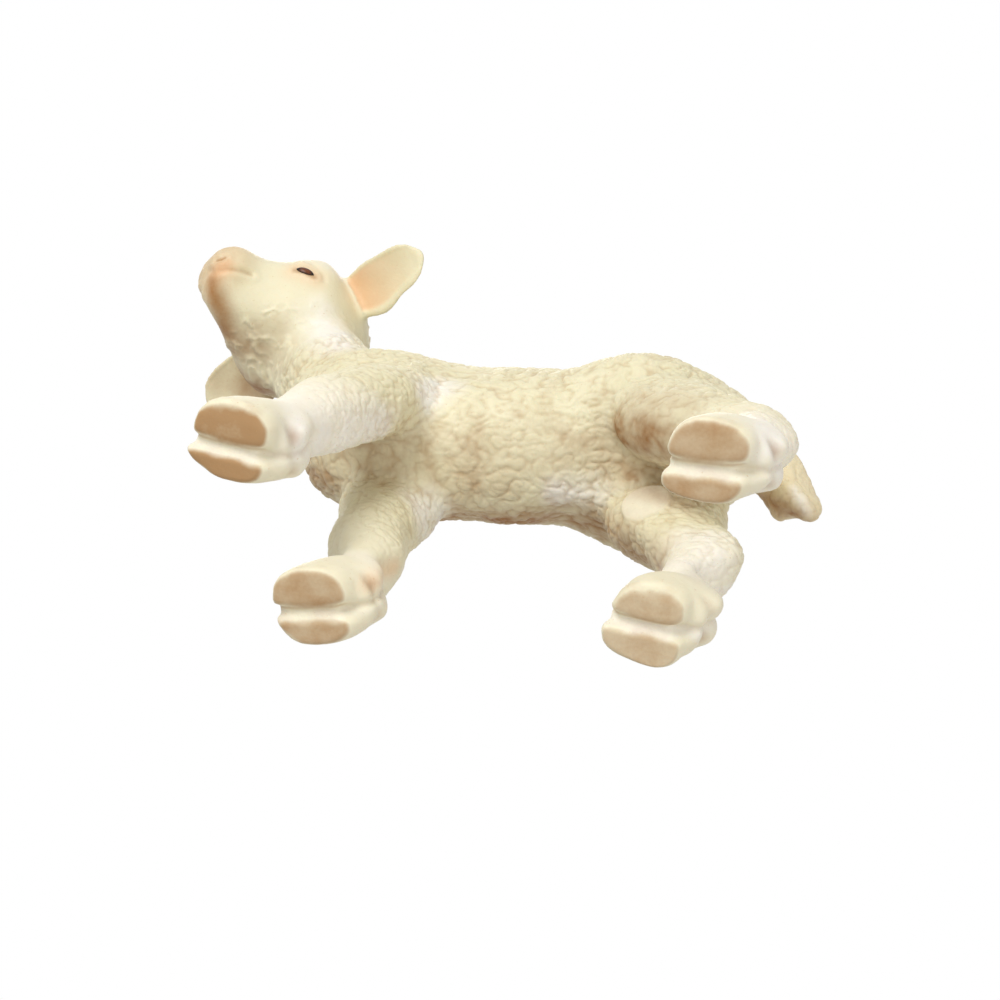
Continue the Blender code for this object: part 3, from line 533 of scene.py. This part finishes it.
# Hooves: two heel bulbs, a crease over them, two low dewclaws and a furrow that splits them all.
# Measures are in mm, from the middle of each hoof and along its toe
hoofMake = {
    "top": 12, "back": (-1.5, -2.5),
    "creaseHeight": 2.15, "creaseWidth": 0.55, "creaseDepth": 0.24, "creaseEnds": (2.5, 1.5), "uneven": 0.45,
    "furrowWidth": 0.34, "furrowDepth": 0.24, "furrowTop": (6.0, 4.0),
    "dewclaw": 0.30, "dewclawHeight": 3.9, "dewclawApart": 1.15, "dewclawSize": (0.75, 1.0),
    "dewclawBack": (-2.2, -3.2),
    "hornTop": (4.4, 3.4),
    "cleftAt": 0.24, "cleftWidth": 0.20, "cleftBack": (-3.0, -2.2), "cleftTop": 3,
    "slideTop": (4.6, 3.0), "slideEnds": (-2.5, 2.5), "halfWidth": 2.9,
    "bevel": 0.34, "bevelTop": (1.2, 0.2),
}
horn, heelPits, cleft, rubbed, bevel = (np.zeros(len(points)) for _ in range(5))
soleTan = np.ones(len(points))
hoofShift = np.zeros((len(points), 3))
height = points[:, 2]
bevelShare = smoothStep(*hoofMake["bevelTop"], height)
for name, foot in feet.items():
    toe = math.radians(foot["toe"])
    leftward = np.array((-math.sin(toe), math.cos(toe), 0))
    offset = points[:, :2] - np.array(foot["middle"])
    along = offset @ np.array((math.cos(toe), math.sin(toe)))
    across = offset @ leftward[:2]
    here = isNode[name]*(height < hoofMake["top"])
    back = here*smoothStep(*hoofMake["back"], along)
    uneven = 1 + hoofMake["uneven"]*np.sin(across*1.9 + foot["middle"][0])
    crease = bump(height - hoofMake["creaseHeight"], hoofMake["creaseWidth"])*back*uneven
    crease = crease*smoothStep(*hoofMake["creaseEnds"], np.abs(across))
    furrow = bump(across, hoofMake["furrowWidth"])*back*smoothStep(*hoofMake["furrowTop"], height)
    wide, tall = hoofMake["dewclawSize"]
    dewclaw = sum(np.exp(-((across - way)/wide)**2 - ((height - hoofMake["dewclawHeight"])/tall)**2)
                  for way in (-hoofMake["dewclawApart"], hoofMake["dewclawApart"]))
    relief += hoofMake["dewclaw"]*dewclaw*here*smoothStep(*hoofMake["dewclawBack"], along)
    relief -= hoofMake["creaseDepth"]*crease + hoofMake["furrowDepth"]*furrow
    heelPits = np.maximum(heelPits, np.maximum(crease*bump(np.abs(across) - 1.2, 0.8), 0.6*furrow))
    horn = np.maximum(horn, here*smoothStep(*hoofMake["hornTop"], height)*(1 - back))
    inCleft = bump(across - hoofMake["cleftAt"], hoofMake["cleftWidth"])*smoothStep(*hoofMake["cleftBack"], along)
    cleft = np.maximum(cleft, here*inCleft*(height < hoofMake["cleftTop"]))
    onRight = here*smoothStep(0.3, -0.1, across)
    rubbed = np.maximum(rubbed, foot["worn"]*onRight*smoothStep(-1.15, -0.55, across + 0.12*np.sin(along*2.7)))
    bevel = np.maximum(bevel, foot["worn"]*onRight*smoothStep(-1.1, -0.35, across)*bevelShare)
    bevel = np.maximum(bevel, foot["rim"]*here*smoothStep(1.5, 2.7, across)*bevelShare)
    soleTan = np.where(here > 0, foot["tan"], soleTan)
    slide = np.interp(along, hoofMake["slideEnds"], foot["cleft"][::-1])*here
    slide = slide*smoothStep(*hoofMake["slideTop"], height)
    hoofShift -= (slide*np.clip(1 - (across/hoofMake["halfWidth"])**2, 0, 1))[:, None]*leftward
points += hoofShift
points[:, 2] += hoofMake["bevel"]*bevel
ragged = 0.05*np.array([noise.noise(Vector(place)/0.7) for place in points.tolist()])
sole = smoothStep(0.24, 0.08, points[:, 2] + ragged)*smoothStep(0.45, 0.8, -normals[:, 2])*(1 - 0.9*rubbed)*soleTan
relief *= smoothStep(0.05, 0.5, points[:, 2])
points = points + normals*relief[:, None]
points += discFacing*((flatDisc["height"] - discDepth*flatDisc["flatness"])*onDisc)[:, None]
discRim = bump(discReach - flatDisc["radius"]*flatDisc["rimAt"], flatDisc["rimWidth"])*facesDisc
points += discFacing*(flatDisc["rimHeight"]*discRim)[:, None]
points[:, 2] = np.maximum(points[:, 2], 0.0)
writePoints(skin, points)
finalNormals = readPoints(skin, "normal").copy()
print("details moulded")

# Paint masks, 0 to 1, that the materials read. Soft dabs along short lines: the tan ones are partly wash and partly
# painted shade, the ivory ones are painted highlights and the blush ones are pink paint. Each dab: mask, line of
# places, reach in mm, strength
dabs = [
    # chest: painted shade under the left foreleg and at the neck's base
    ("washAndShade", [(4.7, -2.1, 18.3), (8.5, -2.6, 19.6), (12.1, -6.2, 22.1)], 4.2, 0.36),
    ("washAndShade", [(11.5, -5.8, 21.3), (12.6, -5.5, 23.0)], 2.0, 0.80),
    # left groin and haunch: painted shade between the thigh and the belly
    ("washAndShade", [(-12.3, 0.1, 17.7), (-15.0, 0.5, 16.5), (-11.5, -2.0, 18.6)], 2.8, 0.60),
    ("washAndShade", groin["line"], 2.3, 0.95),
    ("washAndShade", [(-12.5, 3.2, 17.5), (-17.0, 3.0, 14.5)], 2.8, 0.32),
    # right flank: painted shade along its lower edge
    ("washAndShade", [(1.5, -8.2, 21.4), (-4.3, -8.3, 20.9), (-9.9, -8.2, 20.4), (-13.6, -8.4, 15.0)], 2.9, 0.80),
    # belly: painted shade on its lower side, and a painted highlight
    ("washAndShade", [(-3.0, -4.5, 18.8), (2.0, -4.0, 18.6)], 3.0, 0.30),
    ("washAndShade", [(2.0, -1.5, 19.0), (-8.0, -2.0, 19.3)], 3.2, 0.24),
    ("ivory", [(-7.7, -4.9, 19.1), (-9.9, -4.4, 19.4)], 1.7, 0.9),
    # jaw, throat and neck: painted shade under the jaw and the throat, a painted highlight on the neck and pink at the
    # lip
    ("washAndShade", [(20.8, 2.6, 31.0), (22.5, 2.4, 32.0)], 2.2, 0.55),
    ("washAndShade", [(17.5, 3.0, 30.5), (16.0, 2.0, 30.0)], 2.6, 0.26),
    ("washAndShade", [(22.1, -1.0, 34.0), (20.5, -1.4, 33.6)], 2.2, 0.8),
    ("ivory", [(12.2, 3.9, 29.3), (14.5, 5.4, 30.5)], 2.8, 0.9),
    ("blush", [(22.9, 9.3, 30.4), (24.0, 8.4, 30.1)], 1.2, 0.9),
    # right ear
    ("washAndShade", [(20.5, -4.0, 37.2), (23.5, -2.5, 37.5)], 2.2, 0.78),
    ("washAndShade", [(25.0, -2.6, 37.6), (26.5, -2.2, 38.2)], 1.8, 0.42),
    # left foreleg: painted shade on its underside, painted highlights on the elbow and down the leg
    ("washAndShade", [(4.8, 0.5, 14.3), (5.6, 0.4, 10.5)], 1.5, 0.30),
    ("ivory", [(3.0, 2.1, 19.3), (1.9, 2.5, 21.3)], 1.7, 1.0),
    ("ivory", [(8.6, 2.6, 3.5), (7.0, 1.2, 7.5), (5.2, 0.7, 13.0)], 2.4, 1.0),
    # right foreleg: painted shade, painted highlights at the elbow and the heel, and pink at the back
    ("washAndShade", [(5.6, -6.0, 11.5), (4.8, -5.8, 15.5)], 2.0, 0.18),
    ("ivory", [(2.6, -6.2, 16.6), (2.2, -7.6, 18.4)], 2.0, 1.0),
    ("ivory", [(3.2, -7.6, 3.0)], 2.6, 0.6),
    ("blush", [(2.4, -7.7, 7.3), (2.6, -7.0, 1.7)], 0.8, 0.5),
    # hind legs: painted shade on the right thigh, painted highlights on the shanks
    ("washAndShade", [(-14.6, -7.6, 13.5), (-16.5, -7.2, 11.2)], 2.2, 0.45),
    ("ivory", [(-19.5, -5.6, 6.2), (-19.6, -5.4, 11.5)], 2.6, 0.7),
    ("ivory", [(-23.8, 4.0, 3.0), (-24.6, 3.2, 5.5)], 2.8, 1.0),
    # tail: painted shade along its lower edge and in the fold, a painted highlight along its ridge
    ("washAndShade", [(-22.9, -5.2, 22.8), (-24.6, -5.5, 21.3), (-25.7, -6.0, 20.6)], 1.3, 0.75),
    ("washAndShade", tailFold["line"], 0.35, 0.45),
    ("ivory", [(-25.3, -3.6, 20.7), (-26.2, -5.2, 20.4)], 0.7, 0.8),
]
dabMasks = {key: np.zeros(len(points)) for key in ("washAndShade", "ivory", "blush")}
for key, line, reach, strength in dabs:
    dabMasks[key] = np.maximum(dabMasks[key], strength*bump(lineDistance(points, line), reach))
height = points[:, 2]
blotch = np.array([noise.noise(Vector(place)*0.45) + 0.5*noise.noise(Vector(place)*1.3) for place in points.tolist()])
blotch = np.clip(0.5 + blotch*0.8, 0, 1)

# Tan wash and painted shade: darker in the sheltered places and between parts where shade falls, in the dabs and in
# the fleece's creases, hardly on the legs
washAndShadeMake = {"shelter": (0.22, 0.62), "shelterShare": 0.7, "blotch": 0.17, "underIvory": 0.6, "onLegs": 0.15,
            "legTop": 11, "hornLoss": 0.8}
washAndShade = smoothStep(*washAndShadeMake["shelter"], shelter)*washAndShadeMake["shelterShare"]
washAndShade = 1 - (1 - washAndShade)*(1 - dabMasks["washAndShade"])*(1 - washAndShadeMake["blotch"]*blotch**2*isNode["torso"])
washAndShade *= (1 - washAndShadeMake["underIvory"]*dabMasks["ivory"])*(1.45 - 0.75*np.clip(curl, 0, 1))
washAndShade = np.where(onLeg & (height < washAndShadeMake["legTop"]), washAndShade*washAndShadeMake["onLegs"], washAndShade)*(1 - washAndShadeMake["hornLoss"]*horn)

# Blush: on the muzzle, round the eyes and inside the ears
blushMake = {"muzzle": 0.34, "eye": 0.5, "eyeReach": 1.2, "rightEarLoss": 0.65,
             "ear": ([0, 0.3, 0.6, 0.9], [1.0, 0.8, 0.38, 0.08])}   # place along the ear against share
muzzle = onHead*smoothStep(6.0, 9.4, ahead)
inEar = earInside*(1 - earRim)*np.interp(earAlong, *blushMake["ear"])
blush = np.maximum(muzzle*blushMake["muzzle"], onHead*bump(gaps["eye"], blushMake["eyeReach"])*blushMake["eye"])
blush = np.maximum(blush, dabMasks["blush"])
blush = np.maximum(blush, inEar*(1 - blushMake["rightEarLoss"]*isNode["ear_right"]))

# Ochre: painted shade in the mouth line, the nostrils, the heel creases and the clefts and under the chin; own colour
# at the eye's rim, the muzzle's tip and the bottoms of the hooves
ochreLayers = [
    onHead*np.maximum(bump(gaps["mouth"], 0.22)*0.38, bump(gaps["nostril"], 0.2)*0.85),
    onHead*bump(lineDistance(inHead, chinLine), 1.15)*0.92,
    onHead*bump(gaps["eye"], 0.36)*0.6,
    onHead*smoothStep(8.0, 10.3, ahead)*0.30,
    0.38*heelPits,
    0.5*cleft,
    0.30*horn*smoothStep(1.4, 0.3, height)*blotch,
]

# Pale coat: on the lower legs, the disc and the top of the head
paleMake = {"legs": ([0, 3, 5, 9, 14], [0.35, 0.5, 0.95, 0.8, 0]),   # height against share
            "rightForelegLoss": 0.7, "disc": 0.55, "face": 0.20, "poll": 0.62}
pale = np.where(onLeg, np.interp(height, *paleMake["legs"]), 0.0)
pale *= 1 - paleMake["rightForelegLoss"]*isNode["foreleg_right"]*smoothStep(4.0, 6.0, height)
pale = np.maximum(pale, paleMake["disc"]*onDisc)
pale = np.maximum(pale, onHead*(paleMake["face"] + paleMake["poll"]*smoothStep(0.5, 3.5, top))*(1 - muzzle))
masks = {
    "pale": np.clip(spreadOver(pale, 20), 0, 1),
    # curl: the fleece's height, which puts painted shade into its creases
    "curl": spreadOver(np.where(wool > 0.01, curl*woolHeight + 0.75*(1 - woolHeight), 0.75), 1),
    "washAndShade": np.clip(spreadOver(washAndShade, 6)*(0.7 + 0.5*blotch), 0, 1),
    # ivory: the painted highlights, and pale paint where the tan is rubbed off the soles
    "ivory": np.clip(spreadOver(np.maximum(dabMasks["ivory"], 0.7*rubbed), 3)*(0.6 + 0.7*blotch), 0, 1),
    "blush": np.clip(spreadOver(blush, 4), 0, 1),
    "ochre": np.clip(np.max(ochreLayers, axis=0), 0, 1),
    "sole": np.clip(spreadOver(sole, 3)*(0.84 + 0.26*blotch), 0, 1),
    "tan": np.clip(spreadOver(isNode["tail"].astype(float), 12), 0, 1),
}
print("paint masks set")


def linear(code):
    parts = [int(code[i:i + 2], 16)/255 for i in (1, 3, 5)]
    return tuple(part/12.92 if part <= 0.04045 else ((part + 0.055)/1.055)**2.4 for part in parts) + (1.0,)


def emptyTree(owner):
    owner.use_nodes = True
    owner.node_tree.nodes.clear()
    return owner.node_tree


def addNode(tree, kind, inputs=None, **settings):
    node = tree.nodes.new(kind)
    for key, value in settings.items():
        setattr(node, key, value)
    for key, value in (inputs or {}).items():
        if isinstance(value, bpy.types.NodeSocket):
            tree.links.new(value, node.inputs[key])
        else:
            node.inputs[key].default_value = value
    return node


def mixed(tree, share, first, second):
    # a colour mix's sockets: 0 is the share, 6 and 7 are the colours, and 2 is the result
    return addNode(tree, "ShaderNodeMix", {0: share, 6: first, 7: second}, data_type="RGBA").outputs[2]


def ramp(tree, value, start, full, low=0.0, high=1.0):
    return addNode(tree, "ShaderNodeMapRange", {"Value": value, "From Min": start, "From Max": full,
                                                "To Min": low, "To Max": high}).outputs[0]


def noiseOf(tree, place, size, detail):
    inputs = {"Vector": place, "Scale": 1/(size*mm), "Detail": detail}
    return addNode(tree, "ShaderNodeTexNoise", inputs).outputs["Fac"]


def paintedPvc(name, look):
    # soft PVC takes a matt cream base coat; tan goes into the hollows, partly as a wiped wash and partly as painted
    # shade, the high spots stay pale and some carry painted highlights
    material = bpy.data.materials.new(name)
    tree = emptyTree(material)
    place = addNode(tree, "ShaderNodeTexCoord").outputs["Object"]
    mottle = noiseOf(tree, place, look["mottle"], 3.0)
    grain = noiseOf(tree, place, look["grain"], 2.0)
    colour = mixed(tree, mottle, linear(look["base"]), linear(look["second"]))
    for mask, code, low, high, strength in look["coats"]:
        value = addNode(tree, "ShaderNodeAttribute", attribute_name=mask).outputs["Fac"]
        worn = addNode(tree, "ShaderNodeMath", {0: grain, 1: look["wear"], 2: value}, operation="MULTIPLY_ADD")
        share = ramp(tree, worn.outputs[0], low + look["wear"]/2, high + look["wear"]/2, 0.0, strength)
        colour = mixed(tree, share, colour, linear(code))
    speck = noiseOf(tree, place, look["speck"], 1.0)
    dots = ramp(tree, speck, *look["speckRange"], 0.0, look["speckShare"])
    colour = mixed(tree, dots, colour, linear(look["speckColour"]))
    fine = addNode(tree, "ShaderNodeBump", {"Height": grain, "Strength": look["grainStrength"],
                                            "Distance": look["grainHeight"]*mm})
    shader = addNode(tree, "ShaderNodeBsdfPrincipled", {
        "Base Color": colour, "Roughness": ramp(tree, grain, 0.3, 0.7, *look["rough"]), "Normal": fine.outputs[0],
        "IOR": 1.45, "Subsurface Weight": look["glow"], "Subsurface Radius": (1.0, 0.65, 0.4),
        "Subsurface Scale": 0.6*mm,
    })
    addNode(tree, "ShaderNodeOutputMaterial", {"Surface": shader.outputs[0]})
    material.diffuse_color = linear(look["base"])
    return material


# Coats: mask, colour, mask value where it starts and where it is full, strength
mouldedCoats = [
    ("pale", "#FBF6E9", 0.1, 1.0, 0.85),
    ("tan", "#E8D5AE", 0.1, 1.0, 0.50),
    # ivory: painted highlights, and pale paint where the tan is rubbed off the soles
    ("ivory", "#F6F4F0", 0.15, 0.9, 0.75),
    # curl: painted shade in the fleece's creases
    ("curl", "#B89765", 0.62, 0.0, 0.50),
    # tan wash and painted shade
    ("washAndShade", "#956329", 0.06, 1.0, 0.94),
    ("blush", "#E6B283", 0.05, 1.0, 0.85),
    # ochre: painted shade in the mouth line, nostrils, heel creases and clefts and under the chin; own colour at the
    # eye's rim, muzzle tip and hoof bottoms
    ("ochre", "#9E661E", 0.08, 1.0, 0.90),
    ("sole", "#AE875A", 0.1, 0.9, 0.93),
]
pvcLook = {
    "base": "#EDE8CC", "second": "#DED7B4", "mottle": 2.4, "coats": mouldedCoats, "wear": 0.16,
    "grain": 0.26, "grainHeight": 0.07, "grainStrength": 0.25,
    "speck": 0.22, "speckRange": (0.70, 0.78), "speckShare": 0.35, "speckColour": "#C9A878",
    "rough": (0.48, 0.62), "glow": 0.12,
}
materialNames = {"fleece_cream_pvc": "mouldedPvcFleece", "face_cream_pvc": "mouldedPvcFace",
                 "leg_ivory_pvc": "mouldedPvcLeg", "tail_tan_pvc": "mouldedPvcTail"}
materials = {slot: paintedPvc(name, pvcLook) for slot, name in materialNames.items()}

# The skin is cut into the nine pieces, each closed on the inside where the next one is glued on.
# A face whose corners split evenly between two pieces goes by the number halfway between theirs,
# so some strips of the borders at the roots are parts of the ears or of the left foreleg
loops = np.empty(len(skin.loops), dtype=np.int64)
skin.loops.foreach_get("vertex_index", loops)
quads = loops.reshape(-1, 4)
faceLabel = np.median(label[quads], axis=1).astype(int)
pieceNames = {"torso": "torsoSkin", "head": "headSkin", "ear_left": "earLeftSkin", "ear_right": "earRightSkin",
              "foreleg_left": "foreLegLeftSkin", "foreleg_right": "foreLegRightSkin",
              "hindleg_left": "hindLegLeftSkin", "hindleg_right": "hindLegRightSkin", "tail": "tailSkin"}
for index, name in enumerate(nodeNames):
    used, faces = np.unique(quads[faceLabel == index], return_inverse=True)
    mesh = bpy.data.meshes.new(pieceNames[name])
    mesh.from_pydata(points[used]*mm, [], faces.reshape(-1, 4).tolist())
    for mask, values in masks.items():
        mesh.attributes.new(mask, "FLOAT", "POINT").data.foreach_set("value", values[used])
    shape = bmesh.new()
    shape.from_mesh(mesh)
    grown = bmesh.ops.extrude_edge_only(shape, edges=rimOf(shape))["geom"]
    lip = {item for item in grown if isinstance(item, bmesh.types.BMVert)}
    for vertex in lip:
        source = next(edge.other_vert(vertex) for edge in vertex.link_edges if edge.other_vert(vertex) not in lip)
        vertex.co = source.co - Vector(finalNormals[used[source.index]])*skinMake["lipDepth"]*mm
    caps = bmesh.ops.holes_fill(shape, edges=rimOf(shape), sides=0)["faces"]
    bmesh.ops.poke(shape, faces=caps)
    shape.to_mesh(mesh)
    shape.free()
    extra = len(mesh.vertices) - len(used)
    mesh.polygons.foreach_set("use_smooth", [True]*len(mesh.polygons))
    mesh.normals_split_custom_set_from_vertices(finalNormals[used].tolist() + [(0, 0, 1)]*extra)
    mesh.materials.append(materials[slotOf[name]])
    piece = bpy.data.objects.new(pieceNames[name], mesh)
    scene.collection.objects.link(piece)
    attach(piece, "root")
    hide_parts(name)
print("skin cut into", len(nodeNames), "pieces")

# Eyes: a glossy domed almond on each side of the head, in mm
eyeMake = {"halfLength": 0.80, "halfHeight": 0.27, "dome": 0.14, "lift": 0.05, "steps": 28, "back": 0.35,
           "almond": (2.2, 0.8), "corner": 0.012, "bow": 0.05}


def glossyEye():
    # gloss lacquer over brown paint: a dark rim, a warm orange-brown middle and a sharp highlight
    material = bpy.data.materials.new("glossLacquerEye")
    tree = emptyTree(material)
    ring = addNode(tree, "ShaderNodeAttribute", attribute_name="ring").outputs["Fac"]
    place = addNode(tree, "ShaderNodeTexCoord").outputs["Object"]
    warm = mixed(tree, noiseOf(tree, place, 0.15, 2.0), linear("#8A4A20"), linear("#3A1A0C"))
    colour = mixed(tree, ramp(tree, ring, 0.45, 0.9), warm, linear("#150A06"))
    shader = addNode(tree, "ShaderNodeBsdfPrincipled", {"Base Color": colour, "Roughness": 0.18, "IOR": 1.4,
                                                        "Coat Weight": 0.2, "Coat Roughness": 0.08})
    addNode(tree, "ShaderNodeOutputMaterial", {"Surface": shader.outputs[0]})
    return material


def fromHead(place, way):
    return Vector(headPose["centre"]) + forward*place[0] + headLeft*place[1]*way + headTop*place[2]


eyeMaterial = glossyEye()
headTree = BVHTree.FromPolygons(points.tolist(), quads[faceLabel == nodeNames.index("head")].tolist())
steps = eyeMake["steps"]
for way, name in ((1, "eyeLeft"), (-1, "eyeRight")):
    front, middle, rear = (fromHead(place, way) for place in faceLines["eye"])
    spot, outward, _, _ = headTree.find_nearest(middle)
    length = (front - rear).normalized()
    length = (length - outward*length.dot(outward)).normalized()
    rise = outward.cross(length)*(1 if outward.cross(length).dot(headTop) > 0 else -1)
    shape = bmesh.new()
    ringLayer = shape.verts.layers.float.new("ring")
    grid = []
    for i in range(steps + 1):
        u = -math.cos(math.pi*i/steps)
        reach = eyeMake["halfHeight"]*(1 - abs(u)**eyeMake["almond"][0])**eyeMake["almond"][1] + eyeMake["corner"]
        row = []
        for j in range(steps//2 + 1):
            v = -math.cos(math.pi*j/(steps//2))
            start = spot + length*u*eyeMake["halfLength"] + rise*(v*reach + eyeMake["bow"]*(1 - u*u))
            hit = headTree.ray_cast(start + outward*1.0, -outward, 2.0)[0] or start
            dome = eyeMake["dome"]*(1 - u*u)*(1 - v*v)
            vertex = shape.verts.new((hit + outward*(eyeMake["lift"] + dome))*mm)
            vertex[ringLayer] = max(abs(u)*1.15, abs(v))
            row.append(vertex)
        grid.append(row)
    for first, second in zip(grid, grid[1:]):
        for j in range(len(first) - 1):
            shape.faces.new((first[j], first[j + 1], second[j + 1], second[j]))
    edge = [row[0] for row in grid] + grid[-1][1:-1] + [row[-1] for row in reversed(grid)] + grid[0][-2:0:-1]
    back = shape.verts.new((spot - outward*eyeMake["back"])*mm)
    for first, second in zip(edge, edge[1:] + edge[:1]):
        shape.faces.new((first, second, back))
    bmesh.ops.recalc_face_normals(shape, faces=shape.faces)
    mesh = meshFrom(shape, name)
    mesh.polygons.foreach_set("use_smooth", [True]*len(mesh.polygons))
    mesh.materials.append(eyeMaterial)
    eye = bpy.data.objects.new(name, mesh)
    scene.collection.objects.link(eye)
    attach(eye, "root")
print("eyes set")

# Floor: pale from above; from below, where the camera is, it lets the view and the light through
floorMake = {"half": 0.6, "colour": "#F2F1EE", "drop": 0.00002}   # metres
floorShape = bmesh.new()
bmesh.ops.create_grid(floorShape, x_segments=2, y_segments=2, size=floorMake["half"])
floorMesh = meshFrom(floorShape, "floor")
floor = bpy.data.objects.new("floor", floorMesh)
floor.location.z = -floorMake["drop"]
scene.collection.objects.link(floor)
paper = bpy.data.materials.new("matPaperFloor")
tree = emptyTree(paper)
path = addNode(tree, "ShaderNodeLightPath")
behind = addNode(tree, "ShaderNodeNewGeometry").outputs["Backfacing"]
soft = addNode(tree, "ShaderNodeMath", {0: path.outputs["Is Shadow Ray"], 1: path.outputs["Is Diffuse Ray"]},
               operation="MAXIMUM")
through = addNode(tree, "ShaderNodeMath", {0: soft.outputs[0], 1: behind}, operation="MAXIMUM")
mat = addNode(tree, "ShaderNodeBsdfDiffuse", {"Color": linear(floorMake["colour"])})
clear = addNode(tree, "ShaderNodeBsdfTransparent")
surface = addNode(tree, "ShaderNodeMixShader", {0: through.outputs[0], 1: mat.outputs[0], 2: clear.outputs[0]})
addNode(tree, "ShaderNodeOutputMaterial", {"Surface": surface.outputs[0]})
floorMesh.materials.append(paper)

# Light: even and soft, strongest from the picture's upper left. The backdrop is white to the eye
# and in reflections, and a warmer and dimmer light to the surfaces
studio = {"ambient": "#FFF8EE", "ambientPower": 0.52, "white": (1, 1, 1, 1), "whitePower": 1.0}
world = bpy.data.worlds.new("whiteStudio")
scene.world = world
tree = emptyTree(world)
path = addNode(tree, "ShaderNodeLightPath")
seen = addNode(tree, "ShaderNodeMath", {0: path.outputs["Is Camera Ray"], 1: path.outputs["Is Glossy Ray"]},
               operation="MAXIMUM")
seen = addNode(tree, "ShaderNodeMath", {0: seen.outputs[0], 1: path.outputs["Is Transmission Ray"]},
               operation="MAXIMUM")
warmth = linear(studio["ambient"])
ambient = addNode(tree, "ShaderNodeBackground", {"Color": warmth, "Strength": studio["ambientPower"]})
white = addNode(tree, "ShaderNodeBackground", {"Color": studio["white"], "Strength": studio["whitePower"]})
both = addNode(tree, "ShaderNodeMixShader", {0: seen.outputs[0], 1: ambient.outputs[0], 2: white.outputs[0]})
addNode(tree, "ShaderNodeOutputWorld", {"Surface": both.outputs[0]})

right, up, towards = (Vector(cameraView[key]) for key in ("right", "up", "ahead"))
lampMiddle = Vector((0, 0, 0.02))   # metres
lamps = {
    "keyLamp": {"from": -towards*0.9 + up*0.95 - right*0.45, "distance": 0.40, "size": 0.20, "power": 1.02},
    "fillLamp": {"from": -towards*0.9 - up*0.3 + right*0.5, "distance": 0.40, "size": 0.30, "power": 0.43},
    "topLamp": {"from": Vector((0.3, -0.05, 1.0)), "distance": 0.40, "size": 0.25, "power": 0.75},
}
for name, lamp in lamps.items():
    light = bpy.data.lights.new(name, "AREA")
    light.shape = "DISK"
    light.size = lamp["size"]
    light.energy = lamp["power"]
    source = bpy.data.objects.new(name, light)
    way = lamp["from"].normalized()
    source.location = way*lamp["distance"] + lampMiddle
    source.rotation_euler = way.to_track_quat("Z", "Y").to_euler()
    scene.collection.objects.link(source)
scene.view_settings.view_transform = "Standard"
print("lit")
